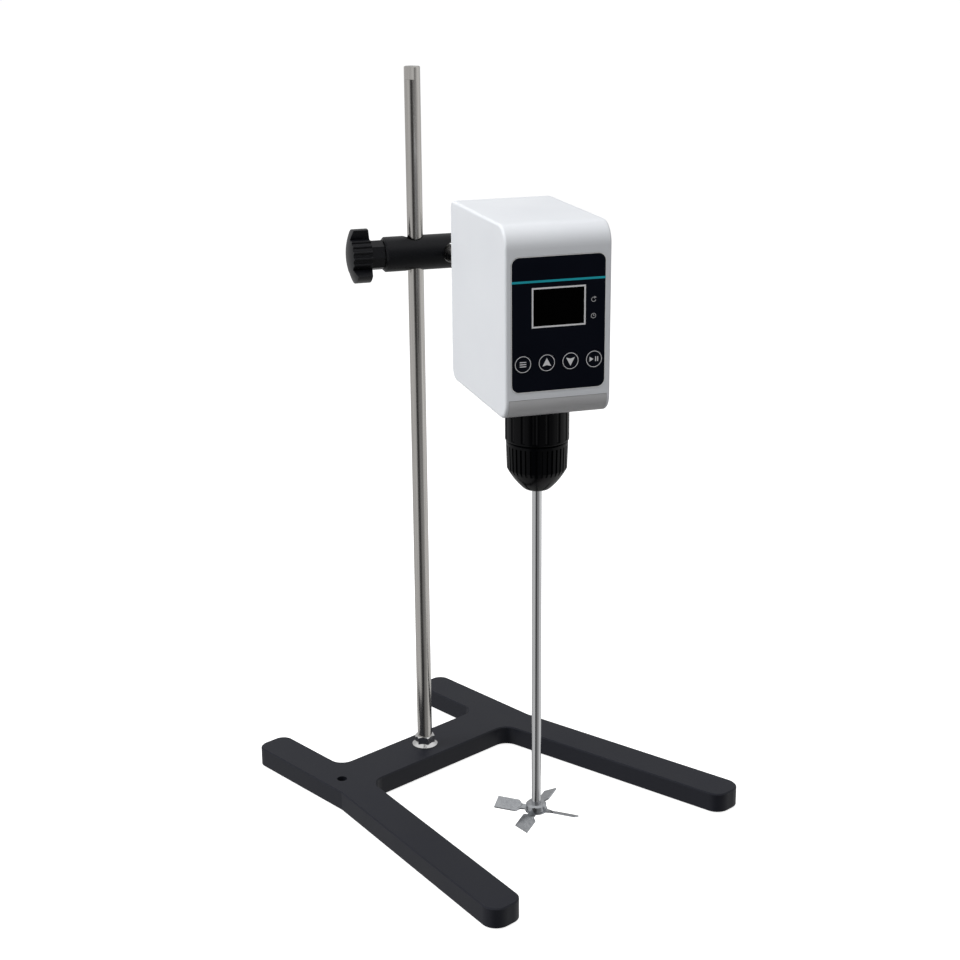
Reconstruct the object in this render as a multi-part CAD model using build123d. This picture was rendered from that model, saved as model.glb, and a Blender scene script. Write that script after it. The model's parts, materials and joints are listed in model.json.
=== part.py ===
"""Overhead laboratory stirrer on an H-shaped stand, modelled piece by piece.

Millimetres and degrees. +Z is up, the stand faces -Y, and the origin lies on the bench under the
middle of the whole outline. Every piece is one STEP file named after the piece.

Three places carry the model:
  stand   the foot of the upright rod on the bench
  arm     where the axis of the clamp crosses the upright: x along the clamp, -y towards the head
  drive   the axis of the motor, chuck and stirring shaft, at the height of the arm
"""
import math
import os

from build123d import *

# ---------------------------------------------------------------- clearances and fits
RUN_FIT = 0.05          # radial clearance of a shaft, screw or stud in its bore
LOOSE = 0.3             # gap between pieces that pass each other
SEAT_GAP = 0.1          # gap between a rod and the wall it is pressed against
MOULD_GAP = 0.2         # gap around covers, caps and panes

# ---------------------------------------------------------------- stand
BASE_THICKNESS = 16.3
BAR_WIDTH = 42.2
LEG_WIDTH = 31.0
LEG_OUTER_X = 108.6     # outer side of the straight rear half of each leg
LEG_SPLAY = 9.1         # outward bend of the front half of each leg
FRONT_REACH = 240.5     # from the upright to the front tips
REAR_REACH = 100.9      # from the upright to the rear tips
FRONT_TIP_RADIUS = 12.0
REAR_TIP_RADIUS = 10.0
FRONT_CROOK_RADIUS = 13.0
REAR_CROOK_RADIUS = 11.0
BASE_EDGE_BREAK = 1.0
SPARE_HOLE_DIAMETER = 8.5
FOOT_DIAMETER = 18.0
FOOT_THICKNESS = 2.5
FOOT_RECESS = 1.0
FOOT_INSET = 20.0       # from the end of a leg to the middle of its foot
FOOT_Z = FOOT_THICKNESS - FOOT_RECESS
BASE_TOP_Z = FOOT_Z + BASE_THICKNESS

ROD_DIAMETER = 12.7
ROD_TOP_Z = 600.0
ROD_END_BREAK = 0.6
STUD_DIAMETER = 10.0
STUD_END_GAP = 2.0      # from the end of the stud to the underside of the base
ROD_FLATS = 9.0         # across the spanner flats at the top of the upright
ROD_FLATS_HEIGHT = 10.0
ROD_FLATS_TURN = 19.0
NUT_FLATS = 15.0
NUT_HEIGHT = 10.0
NUT_TURN = 8.0
FLANGE_DIAMETER = 22.0
FLANGE_RIM = 1.5
FLANGE_RISE = 2.2

# ---------------------------------------------------------------- clamp
ARM_Z = 453.9           # height of the clamp and of the support rod
HEAD_YAW = -25.7        # turn of the clamp and the head about the upright
CLAMP_DIAMETER = 28.0
CLAMP_LENGTH = 80.0
CLAMP_END_BREAK = 1.5
CLAMP_HOLE_DIAMETER = 16.5
CLAMP_HOLE_PITCH = 29.5
SCREW_DIAMETER = 8.0
PAD_DIAMETER = 7.0
PAD_THICKNESS = 2.6
PAD_PIN_DIAMETER = 3.0
PAD_PIN_LENGTH = 2.4

ARM_ROD_DIAMETER = 12.7
ARM_ROD_TAIL = 23.5     # from the upright's axis back to the end of the support rod

KNOB_DIAMETER = 43.0
KNOB_CORE_DIAMETER = 28.0
KNOB_GAP = 0.5
KNOB_NECK_FLATS = 22.0
KNOB_NECK_SIDES = 8
KNOB_NECK_LENGTH = 10.8
KNOB_HEAD_LENGTH = 12.8
KNOB_DOME_HEIGHT = 5.0
KNOB_WING_ANGLE = 62.0  # angle that each of the two wings takes up
KNOB_BACK_SLOPE = 1.0       # drop of the wings' back from the neck to their tips
KNOB_TURN = 20.0            # turn of the wings off the vertical
KNOB_RIB_DIAMETER = 2.6
KNOB_RIB_SPACING = 20.0
KNOB_RIBS = 5
KNOB_SCREW_DEPTH = 14.0

# ---------------------------------------------------------------- head
HEAD_WIDTH = 75.0
HEAD_DEPTH = 126.8
HEAD_HEIGHT = 131.2
HEAD_REAR = 142.0       # from the upright's axis forward to the back of the head
HEAD_TOP = 63.1         # above the axis of the support rod
HEAD_WALL = 2.5
HEAD_EDGE_RADIUS = 2.0
FRONT_TOP_RADIUS = 15.0
REAR_TOP_RADIUS = 6.0
REAR_BOTTOM_RADIUS = 9.0
FRONT_BOTTOM_RADIUS = 12.0
COVER_LIP = 14.1        # height of the seam above the underside of the head
SPINDLE_SETBACK = 43.6  # from the front of the head back to the drive axis

FRAME_GAP = 2.4         # from the cover's floor up to the frame
FRAME_THICKNESS = 4.0
FRAME_SIDE_GAP = 1.0
FRAME_FRONT_GAP = 9.0
FRAME_REAR_GAP = 6.5    # from the outside of the head to the back of the frame's upright
FRAME_UPRIGHT_TOP = 22.0
FRAME_WINDOW_WIDTH = 50.0
FRAME_WINDOW_HEIGHT = 26.0
SOCKET_DIAMETER = 26.0
SOCKET_LENGTH = 26.0
SOCKET_SCREW_DIAMETER = 4.0
SOCKET_SCREW_DEPTH = 9.0
SOCKET_HEAD_HEIGHT = 2.5
SOCKET_HEAD_DIAMETER = 6.4
SOCKET_END_GAP = 2.0    # from the end of the support rod to the front of its socket
SET_SCREW_SETBACK = 13.0
SET_SCREW_DIAMETER = 6.0
HOUSING_SCREW_DIAMETER = 3.0
HOUSING_HEAD_DIAMETER = 5.9
HOUSING_SCREW_INSET_X = 6.5
HOUSING_SCREW_INSET_REAR = 16.0
HOUSING_SCREW_INSET_FRONT = 16.0
HOUSING_BOSS_DIAMETER = 7.0
HOUSING_BOSS_HEIGHT = 14.0
HOUSING_BOSS_ROOF = 2.0
SCREW_END_GAP = 1.0     # from the tip of a screw to the end of its hole
SCREW_HEAD_HEIGHT = 1.8

# control panel on the front of the head, heights measured from the axis of the support rod
PANEL_WIDTH = 66.7
PANEL_HEIGHT = 91.9
PANEL_Z = -3.1
PANEL_RADIUS = 5.6
PANEL_THICKNESS = 0.8
PANEL_RECESS = 0.6
WINDOW_WIDTH = 38.0
WINDOW_HEIGHT = 27.1
WINDOW_Z = 8.3
WINDOW_LEDGE = 1.0
BUTTON_DIAMETER = 12.4
BUTTON_PITCH = 16.8
BUTTON_Z = -29.3
BUTTON_PROUD = 0.3
BUTTON_COLLAR = 1.0
BUTTON_STEM_DIAMETER = 4.0
BUTTON_TRAVEL = 0.5
BOARD_THICKNESS = 1.6
BOARD_SETBACK = 11.2    # from the front of the head to the front of the control board
CONTROL_BOARD_WIDTH = 58.0
CONTROL_BOARD_HEIGHT = 86.0
TACT_SIZE = 6.0
TACT_HEIGHT = 3.5
TACT_PLUNGER_DIAMETER = 3.4
TACT_PLUNGER_PROUD = 0.4
BOARD_FOOT_X = 18.0
BOARD_FOOT_WIDTH = 5.0
DISPLAY_WIDTH = 44.0
DISPLAY_HEIGHT = 33.0

# rear of the head
INLET_X = -16.0
INLET_DIAMETER = 11.0
INLET_FLANGE_DIAMETER = 15.0
INLET_BORE_DIAMETER = 5.5
INLET_PIN_DIAMETER = 2.1
INLET_LENGTH = 14.0
INLET_FLANGE = 2.0
INLET_DEPTH = 9.5
SWITCH_X = 15.0
REAR_ROW_Z = -38.0
SWITCH_BEZEL_WIDTH = 11.0
SWITCH_BEZEL_HEIGHT = 15.5
SWITCH_BEZEL_THICKNESS = 1.6
SWITCH_WALL = 1.0
SWITCH_DEPTH = 13.0
SWITCH_POCKET = 7.0
ROCKER_TILT = 8.0
ROCKER_PIVOT_DIAMETER = 1.6
ROCKER_PIVOT_Y = -1.5
ROCKER_END_GAP = 0.6
ROCKER_PROUD = 0.2      # of its two ends, level, beyond the bezel
ROCKER_DISH = 0.7
ROCKER_SHOULDER = 1.0   # from the pivot inward to where its flanks start to narrow
ROCKER_KEEL = 2.6       # from the pivot inward to its lowest edge
ROCKER_TAPER = 0.4

DRIVER_BOARD_WIDTH = 52.0
DRIVER_BOARD_DEPTH = 40.0
DRIVER_BOARD_REAR = 14.0
STANDOFF_HEIGHT = 6.5
STANDOFF_FLATS = 5.0
STANDOFF_TIP = 0.6      # of its pin above the board
CAPACITOR_DIAMETER = 10.0
CAPACITOR_HEIGHT = 18.0
CAPACITOR_PITCH = 12.5
CAPACITOR_INSET = 11.2  # from the front edge of the board to the row of capacitors
SINK_X = 15.5
SINK_THICKNESS = 4.0
SINK_LENGTH = 15.0
CONNECTOR_X = -2.6
CONNECTOR_WIDTH = 15.6
CONNECTOR_SIZE = 6.0
CONNECTOR_INSET = 3.0

# ---------------------------------------------------------------- motor and spindle
MOTOR_DIAMETER = 50.0
MOTOR_LENGTH = 62.0
MOTOR_WALL = 2.0
MOTOR_FLANGE = 4.0
MOTOR_SCREW_DIAMETER = 3.0
MOTOR_HEAD_DIAMETER = 5.0
MOTOR_SCREW_CIRCLE = 43.0
STATOR_LENGTH = 30.0
STATOR_BORE = 29.0
STATOR_SLOTS = 9
STATOR_SLOT_WIDTH = 4.0
STATOR_SLOT_OPENING = 1.6
STATOR_TOOTH_TIP = 2.0
STATOR_BACK = 2.5
STATOR_LIFT = 8.0       # from the motor's flange up to the stator
ROTOR_DIAMETER = 28.0
SPINDLE_DIAMETER = 12.0
SPINDLE_MOTOR_DIAMETER = 10.0
SPINDLE_TOP_DIAMETER = 8.0
SPINDLE_BORE = 8.2
SPINDLE_BORE_DEPTH = 21.6
BEARING_NOSE_DIAMETER = 36.0
LOWER_BEARING_DIAMETER = 28.0
LOWER_BEARING_WIDTH = 8.0
UPPER_BEARING_DIAMETER = 22.0
UPPER_BEARING_WIDTH = 7.0

# ---------------------------------------------------------------- chuck, from the underside of the head down
CHUCK_GAP = 1.0
REAR_SLEEVE_DIAMETER = 45.4
REAR_SLEEVE_LENGTH = 26.0
REAR_SLEEVE_FLUTES = 16
FLUTE_DEPTH = 0.7
FLUTE_WIDTH = 2.4
SLEEVE_WALL = 2.2
SLEEVE_SPLIT = 0.6
FRONT_SLEEVE_TOP_DIAMETER = 44.0
FRONT_SLEEVE_GRIP_DIAMETER = 42.8
FRONT_SLEEVE_GRIP = 20.0
FRONT_SLEEVE_NOSE = 15.0
FRONT_SLEEVE_MOUTH = 18.4
FRONT_SLEEVE_RIBS = 36
RIB_GROOVE_WIDTH = 1.5
GROOVE_RUNOUT = 5.0
GROOVE_TOP_GAP = 2.6
GROOVE_LEAN = 2.2
NOSE_BULGE_OUT = 0.615
NOSE_BULGE_UP = 0.493
SLEEVE_EDGE_RADIUS = 0.8
SLEEVE_STEP = 1.6
REAR_SLEEVE_WEB = 9.0
FLUTE_END = 1.6
SPINDLE_IN_CHUCK = 22.0
JAW_DIAMETER = 6.4
JAW_START_RADIUS = 3.7  # of a jaw's axis at the end of the nose
JAW_ANGLE = 15.0
JAW_LENGTH = 26.0
JAW_CLEARANCE = 0.08
JAW_STROKE = 7.5        # along the slope, from the shaft to fully open
JAW_SIDE_GAP = 0.15
JAW_PROUD = 0.6
CHUCK_NOSE_DIAMETER = 17.6
CHUCK_NOSE_LENGTH = 4.5
CHUCK_NOSE_PROUD = 0.8  # beyond the mouth of the front sleeve
CHUCK_BORE = 10.4
CHUCK_WAIST_DIAMETER = 21.6
CHUCK_SHOULDER_DIAMETER = 33.0
CHUCK_SHOULDER_HEIGHT = 10.5
CHUCK_HUB_DIAMETER = 26.0
CHUCK_NUT_DIAMETER = 34.0
CHUCK_NUT_HEIGHT = 8.0
CHUCK_NUT_Z = 15.5      # from the end of the nose up to the underside of the nut

# ---------------------------------------------------------------- stirring shaft and impeller
SHAFT_DIAMETER = 7.0
SHAFT_LENGTH = 300.0
SHAFT_IN_SPINDLE = 0.6    # how far the shaft stands in the bore of the spindle
DISC_LIFT = 2.6         # from the shaft's end up to the underside of the impeller's disc
IMPELLER_DIAMETER = 64.6
BLADE_CHORD = 10.6
BLADE_THICKNESS = 1.2
BLADE_LENGTH = 20.0
BLADE_PITCH = 25.0
BLADE_CORNER = 2.6
BLADE_NECK_WIDTH = 5.6
NECK_THICKNESS = 1.1
NECK_ROOT = 0.75        # how far out on the disc each neck starts, as a share of its radius
BLADES = 4
BLADE_TURN = 141.1      # of the first blade about the drive axis
IMPELLER_DISC_DIAMETER = 17.0
COLLAR_DIAMETER = 15.4
COLLAR_HEIGHT = 5.4
COLLAR_BREAK = 1.4        # sloping break round its upper edge
COLLAR_SCREW_DIAMETER = 3.0
COLLAR_SCREW_TURN = 100.0

# ---------------------------------------------------------------- places that the sizes above give
ROD_R = ROD_DIAMETER / 2
ARM_ROD_R = ARM_ROD_DIAMETER / 2
HOLE_R = CLAMP_HOLE_DIAMETER / 2
SHAFT_R = SHAFT_DIAMETER / 2
HALF_WIDTH = HEAD_WIDTH / 2

# each rod is pressed by its screw against the wall of its hole that faces the middle of the clamp
ROD_HOLE_X = ROD_R + SEAT_GAP - HOLE_R
ARM_HOLE_X = ROD_HOLE_X + CLAMP_HOLE_PITCH
ARM_X = ARM_HOLE_X - HOLE_R + ARM_ROD_R + SEAT_GAP
CLAMP_X = (ROD_HOLE_X + ARM_HOLE_X) / 2

HEAD_FRONT = HEAD_REAR + HEAD_DEPTH
HEAD_BOTTOM = HEAD_TOP - HEAD_HEIGHT
SEAM_Z = HEAD_BOTTOM + COVER_LIP
DRIVE_REACH = HEAD_FRONT - SPINDLE_SETBACK
COVER_FLOOR = HEAD_BOTTOM + HEAD_WALL
FRAME_BOTTOM = COVER_FLOOR + FRAME_GAP
FRAME_TOP = FRAME_BOTTOM + FRAME_THICKNESS
UPRIGHT_REAR = HEAD_REAR + FRAME_REAR_GAP
UPRIGHT_FRONT = UPRIGHT_REAR + FRAME_THICKNESS
SOCKET_FRONT = UPRIGHT_FRONT + SOCKET_LENGTH
PANEL_FLOOR = HEAD_FRONT - PANEL_RECESS
PANEL_FACE = PANEL_FLOOR + PANEL_THICKNESS
WALL_INSIDE = HEAD_FRONT - HEAD_WALL
BOARD_FRONT = HEAD_FRONT - BOARD_SETBACK
TACT_FRONT = BOARD_FRONT + TACT_HEIGHT
SET_SCREW_REACH = UPRIGHT_FRONT + SET_SCREW_SETBACK
SOCKET_SCREW_CIRCLE = ARM_ROD_DIAMETER + SOCKET_HEAD_DIAMETER + 2 * LOOSE

CHUCK_TOP = HEAD_BOTTOM - CHUCK_GAP
CHUCK_SEAT = CHUCK_TOP - SPINDLE_IN_CHUCK
REAR_SLEEVE_BOTTOM = CHUCK_TOP - REAR_SLEEVE_LENGTH
FRONT_SLEEVE_TOP_Z = REAR_SLEEVE_BOTTOM - SLEEVE_SPLIT
CHUCK_END = FRONT_SLEEVE_TOP_Z - FRONT_SLEEVE_GRIP - FRONT_SLEEVE_NOSE - CHUCK_NOSE_PROUD
NUT_BOTTOM_Z = CHUCK_END + CHUCK_NUT_Z
NUT_TOP_Z = NUT_BOTTOM_Z + CHUCK_NUT_HEIGHT
SHOULDER_TOP = NUT_TOP_Z + CHUCK_SHOULDER_HEIGHT
SHAFT_TOP = CHUCK_SEAT + SHAFT_IN_SPINDLE
SHAFT_LOW = SHAFT_TOP - SHAFT_LENGTH
DISC_LOW = SHAFT_LOW + DISC_LIFT

# the origin lies midway between the rear of the base and the front corner of the head
yaw = math.radians(HEAD_YAW)
front_corner = HEAD_FRONT * math.cos(yaw) - (ARM_X + HALF_WIDTH) * math.sin(yaw)
ROD_Y = (max(front_corner, FRONT_REACH) - REAR_REACH) / 2

stand = Pos(0, ROD_Y, 0)
arm = stand * Pos(0, 0, ARM_Z) * Rot(0, 0, HEAD_YAW)
head = arm * Pos(ARM_X, 0, 0)
drive = head * Pos(0, -DRIVE_REACH, 0)

along_x = Rot(0, 90, 0)        # turns an upright piece so that its axis points to +x
along_rear = Rot(-90, 0, 0)    # turns an upright piece so that its axis points to the rear, +y


def pin(diameter, low, high):
    """Round bar about z between two heights."""
    return Pos(0, 0, (low + high) / 2) * Cylinder(diameter / 2, high - low)


def tube(outer, inner, low, high):
    """Round tube about z between two heights."""
    return pin(outer, low, high) - pin(inner, low - 1, high + 1)


def block(x0, x1, y0, y1, z0, z1):
    """Box between two corners."""
    middle = Pos((x0 + x1) / 2, (y0 + y1) / 2, (z0 + z1) / 2)
    return middle * Box(x1 - x0, y1 - y0, z1 - z0)


def depth_bar(diameter, x, z, v0, v1):
    """Round bar along the depth of the head, from v0 forward to v1."""
    return Pos(x, -v1, z) * along_rear * pin(diameter, 0, v1 - v0)


def together(pieces):
    """Several separate solids as one shape."""
    return Compound(children=[solid for piece in pieces for solid in piece.solids()])


# ---------------------------------------------------------------- stand
def base_outline():
    """H-shaped outline: two legs that splay out in front of a crossbar."""
    inner_x = LEG_OUTER_X - LEG_WIDTH
    bar_v = BAR_WIDTH / 2
    splay = math.radians(LEG_SPLAY)
    # the inner side bends at the front of the crossbar, and the outer side on the mitre line
    bend_v = bar_v - LEG_WIDTH * math.tan(splay / 2)
    inner_tip = inner_x + (FRONT_REACH - bar_v) * math.tan(splay)
    outer_tip = LEG_OUTER_X + (FRONT_REACH - bend_v) * math.tan(splay)
    leg = make_face(
        Polyline(
            (inner_x, REAR_REACH),
            (LEG_OUTER_X, REAR_REACH),
            (LEG_OUTER_X, -bend_v),
            (outer_tip, -FRONT_REACH),
            (inner_tip, -FRONT_REACH),
            (inner_x, -bar_v),
            close=True,
        )
    )
    outline = Rectangle(2 * inner_x + LEG_WIDTH, BAR_WIDTH) + leg + mirror(leg, Plane.YZ)
    inside = LEG_OUTER_X - LEG_WIDTH / 2
    corners = (
        (FRONT_TIP_RADIUS, lambda v: abs(v.Y + FRONT_REACH) < 0.01),
        (REAR_TIP_RADIUS, lambda v: abs(v.Y - REAR_REACH) < 0.01),
        (FRONT_CROOK_RADIUS, lambda v: abs(v.Y + bar_v) < 0.01 and abs(v.X) < inside),
        (REAR_CROOK_RADIUS, lambda v: abs(v.Y - bar_v) < 0.01 and abs(v.X) < inside),
    )
    for radius, chosen in corners:
        outline = fillet([v for v in outline.vertices() if chosen(v)], radius)
    return outline


def foot_places():
    """Middles of the four rubber feet, one near each end of each leg."""
    middle_x = LEG_OUTER_X - LEG_WIDTH / 2
    front_v = FRONT_REACH - FOOT_INSET
    front_x = middle_x + (front_v - BAR_WIDTH / 2) * math.tan(math.radians(LEG_SPLAY))
    rear_y = REAR_REACH - FOOT_INSET
    return [
        Pos(side * x, y, 0) for side in (-1, 1) for x, y in ((front_x, -front_v), (middle_x, rear_y))
    ]


def base_plate():
    plate = extrude(base_outline(), BASE_THICKNESS)
    plate = chamfer(plate.faces().sort_by(Axis.Z)[-1].outer_wire().edges(), BASE_EDGE_BREAK)
    plate = Pos(0, 0, FOOT_Z) * plate
    plate -= pin(STUD_DIAMETER + 2 * RUN_FIT, 0, BASE_TOP_Z + 1)
    # a second threaded hole for the upright, where the crossbar meets the left leg
    spare = Pos(LEG_WIDTH / 2 - LEG_OUTER_X, 0, 0)
    plate -= spare * pin(SPARE_HOLE_DIAMETER, 0, BASE_TOP_Z + 1)
    for place in foot_places():
        plate -= place * pin(FOOT_DIAMETER + 2 * LOOSE, 0, FOOT_THICKNESS)
    return plate


def rubber_feet():
    return together([place * pin(FOOT_DIAMETER, 0, FOOT_THICKNESS) for place in foot_places()])


def flange_nut():
    """Hexagon nut on a conical flange, threaded down onto the base."""
    flats = extrude(RegularPolygon(NUT_FLATS / 2, 6, major_radius=False), NUT_HEIGHT)
    corner = NUT_FLATS / math.sqrt(3)
    crown = pin(2 * corner, 0, NUT_HEIGHT)
    crown = chamfer(crown.edges().group_by(Axis.Z)[-1], corner - NUT_FLATS / 2)
    nut = Rot(0, 0, NUT_TURN) * (flats & crown)
    nut += pin(FLANGE_DIAMETER, 0, FLANGE_RIM)
    nut += Pos(0, 0, FLANGE_RIM + FLANGE_RISE / 2) * Cone(
        FLANGE_DIAMETER / 2, NUT_FLATS / 2, FLANGE_RISE
    )
    nut -= pin(STUD_DIAMETER + 2 * RUN_FIT, -1, NUT_HEIGHT + 1)
    return Pos(0, 0, BASE_TOP_Z) * nut


def stand_rod():
    """Upright with a threaded stud at its foot and two spanner flats at its top."""
    shoulder = BASE_TOP_Z + NUT_HEIGHT
    rod = pin(ROD_DIAMETER, shoulder, ROD_TOP_Z)
    rod = chamfer(rod.edges().group_by(Axis.Z)[-1], ROD_END_BREAK)
    for side in (-1, 1):
        cut = Pos(side * (ROD_FLATS + ROD_DIAMETER) / 2, 0, ROD_TOP_Z - ROD_FLATS_HEIGHT / 2 + 1)
        rod -= Rot(0, 0, ROD_FLATS_TURN) * cut * Box(ROD_DIAMETER, 2 * ROD_DIAMETER, ROD_FLATS_HEIGHT + 2)
    return rod + pin(STUD_DIAMETER, FOOT_Z + STUD_END_GAP, shoulder)


# ---------------------------------------------------------------- clamp
def clamp_body():
    """Round boss head with one hole for each rod, at right angles, and a screw hole in each end."""
    half = CLAMP_LENGTH / 2
    body = pin(CLAMP_DIAMETER, -half, half)
    body = chamfer(body.edges().group_by(Axis.Z)[0], CLAMP_END_BREAK)
    body = chamfer(body.edges().group_by(Axis.Z)[-1], CLAMP_END_BREAK)
    screw_bore = pin(SCREW_DIAMETER + 2 * RUN_FIT, CLAMP_HOLE_PITCH / 2, half + 1)
    body = Pos(CLAMP_X, 0, 0) * along_x * (body - screw_bore - Rot(180, 0, 0) * screw_bore)
    body -= Pos(ROD_HOLE_X, 0, 0) * pin(CLAMP_HOLE_DIAMETER, -CLAMP_DIAMETER, CLAMP_DIAMETER)
    across = Rot(90, 0, 0) * pin(CLAMP_HOLE_DIAMETER, -CLAMP_DIAMETER, CLAMP_DIAMETER)
    return body - Pos(ARM_HOLE_X, 0, 0) * across


def knob_section():
    """Section of the knob's head: a round core with two wings and moulded ribs between them."""
    core = KNOB_CORE_DIAMETER / 2
    half = math.radians(KNOB_WING_ANGLE / 2)
    reach = KNOB_DIAMETER
    wedge = make_face(
        Polyline(
            (0, 0),
            (reach * math.cos(half), -reach * math.sin(half)),
            (reach * math.cos(half), reach * math.sin(half)),
            close=True,
        )
    )
    wings = (wedge + Rot(0, 0, 180) * wedge) & Circle(KNOB_DIAMETER / 2)
    section = Circle(core) + wings
    first = -KNOB_RIB_SPACING * (KNOB_RIBS - 1) / 2
    for side in (90, 270):
        for index in range(KNOB_RIBS):
            turn = Rot(0, 0, side + first + index * KNOB_RIB_SPACING)
            section += turn * Pos(core, 0, 0) * Circle(KNOB_RIB_DIAMETER / 2)
    return section


def knob():
    """Winged knob on an octagonal neck, with z pointing away from the end of the clamp."""
    neck_end = KNOB_GAP + KNOB_NECK_LENGTH
    rim = neck_end + KNOB_HEAD_LENGTH
    neck = Pos(0, 0, KNOB_GAP) * extrude(
        Rot(0, 0, 180 / KNOB_NECK_SIDES)
        * RegularPolygon(KNOB_NECK_FLATS / 2, KNOB_NECK_SIDES, major_radius=False),
        KNOB_NECK_LENGTH,
    )
    body = Pos(0, 0, neck_end) * extrude(knob_section(), KNOB_HEAD_LENGTH + KNOB_DOME_HEIGHT)
    # the outer face is a shallow dome, and the back slopes to the neck
    radius = KNOB_DIAMETER / 2
    ball = (radius**2 + KNOB_DOME_HEIGHT**2) / (2 * KNOB_DOME_HEIGHT)
    arc_middle = rim + KNOB_DOME_HEIGHT - ball + math.sqrt(ball**2 - (radius / 2) ** 2)
    outline = make_face(
        [
            Line((0, neck_end), (KNOB_CORE_DIAMETER / 2, neck_end)),
            Line((KNOB_CORE_DIAMETER / 2, neck_end), (radius, neck_end + KNOB_BACK_SLOPE)),
            Line((radius, neck_end + KNOB_BACK_SLOPE), (radius, rim)),
            ThreePointArc((radius, rim), (radius / 2, arc_middle), (0, rim + KNOB_DOME_HEIGHT)),
            Line((0, rim + KNOB_DOME_HEIGHT), (0, neck_end)),
        ]
    )
    dome = revolve(Plane.XZ * outline, Axis.Z)
    whole = neck + (body & dome)
    return whole - pin(SCREW_DIAMETER, 0, KNOB_GAP + KNOB_SCREW_DEPTH)


def knob_screw(reach):
    """Threaded stud moulded into the knob, with a blind hole for the pin of the pad."""
    tip = -reach + LOOSE + PAD_THICKNESS + RUN_FIT
    screw = pin(SCREW_DIAMETER, tip, KNOB_GAP + KNOB_SCREW_DEPTH)
    return screw - pin(PAD_PIN_DIAMETER + 2 * RUN_FIT, tip - 1, tip + PAD_PIN_LENGTH + LOOSE)


def knob_pad(reach):
    """Brass pad that bears on the rod and stays still while the screw turns."""
    face = -reach + LOOSE
    back = face + PAD_THICKNESS
    return pin(PAD_DIAMETER, face, back) + pin(PAD_PIN_DIAMETER, back, back + PAD_PIN_LENGTH)


def support_rod():
    """Horizontal rod that carries the head, from behind the clamp into the socket in the head."""
    end = SOCKET_FRONT - SOCKET_END_GAP
    rod = pin(ARM_ROD_DIAMETER, -ARM_ROD_TAIL, end)
    rod = chamfer(rod.edges().group_by(Axis.Z)[0], ROD_END_BREAK)
    rod = chamfer(rod.edges().group_by(Axis.Z)[-1], ROD_END_BREAK)
    return Rot(90, 0, 0) * rod


# ---------------------------------------------------------------- housing of the head
def side_profile(inset):
    """Side view of the head, drawn smaller by an inset all round, with x to the rear and y up."""
    rear = -(HEAD_REAR + inset)
    front = -(HEAD_FRONT - inset)
    low = HEAD_BOTTOM + inset
    high = HEAD_TOP - inset
    path = FilletPolyline(
        (rear, low),
        (rear, high),
        (front, high),
        (front, low),
        radius=[
            REAR_BOTTOM_RADIUS - inset,
            REAR_TOP_RADIUS - inset,
            FRONT_TOP_RADIUS - inset,
            FRONT_BOTTOM_RADIUS - inset,
        ],
        close=True,
    )
    return make_face(path)


def side_prism(inset, width):
    """The side profile carried across a width centred on the head."""
    return extrude(Plane.YZ * side_profile(inset), width / 2, both=True)


def head_form():
    """Outer form of the whole head, with its side edges rounded."""
    form = side_prism(0, HEAD_WIDTH)
    sides = form.faces().sort_by(Axis.X)
    return fillet(sides[0].edges() + sides[-1].edges(), HEAD_EDGE_RADIUS)


def under_seam(gap):
    """Space below the seam and between the side walls, where the bottom cover sits."""
    half = HALF_WIDTH - HEAD_WALL - gap
    return block(-half, half, -HEAD_FRONT - 1, 1 - HEAD_REAR, HEAD_BOTTOM - 1, SEAM_Z - gap)


def housing_screw_places():
    """Four screws, up through the cover and the frame into the housing."""
    x = HALF_WIDTH - HOUSING_SCREW_INSET_X
    rows = (HEAD_REAR + HOUSING_SCREW_INSET_REAR, HEAD_FRONT - HOUSING_SCREW_INSET_FRONT)
    return [Pos(side * x, -v, 0) for side in (-1, 1) for v in rows]


def button_places():
    """Middles of the four buttons in their row, from left to right."""
    return [(index - 1.5) * BUTTON_PITCH for index in range(4)]


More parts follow.
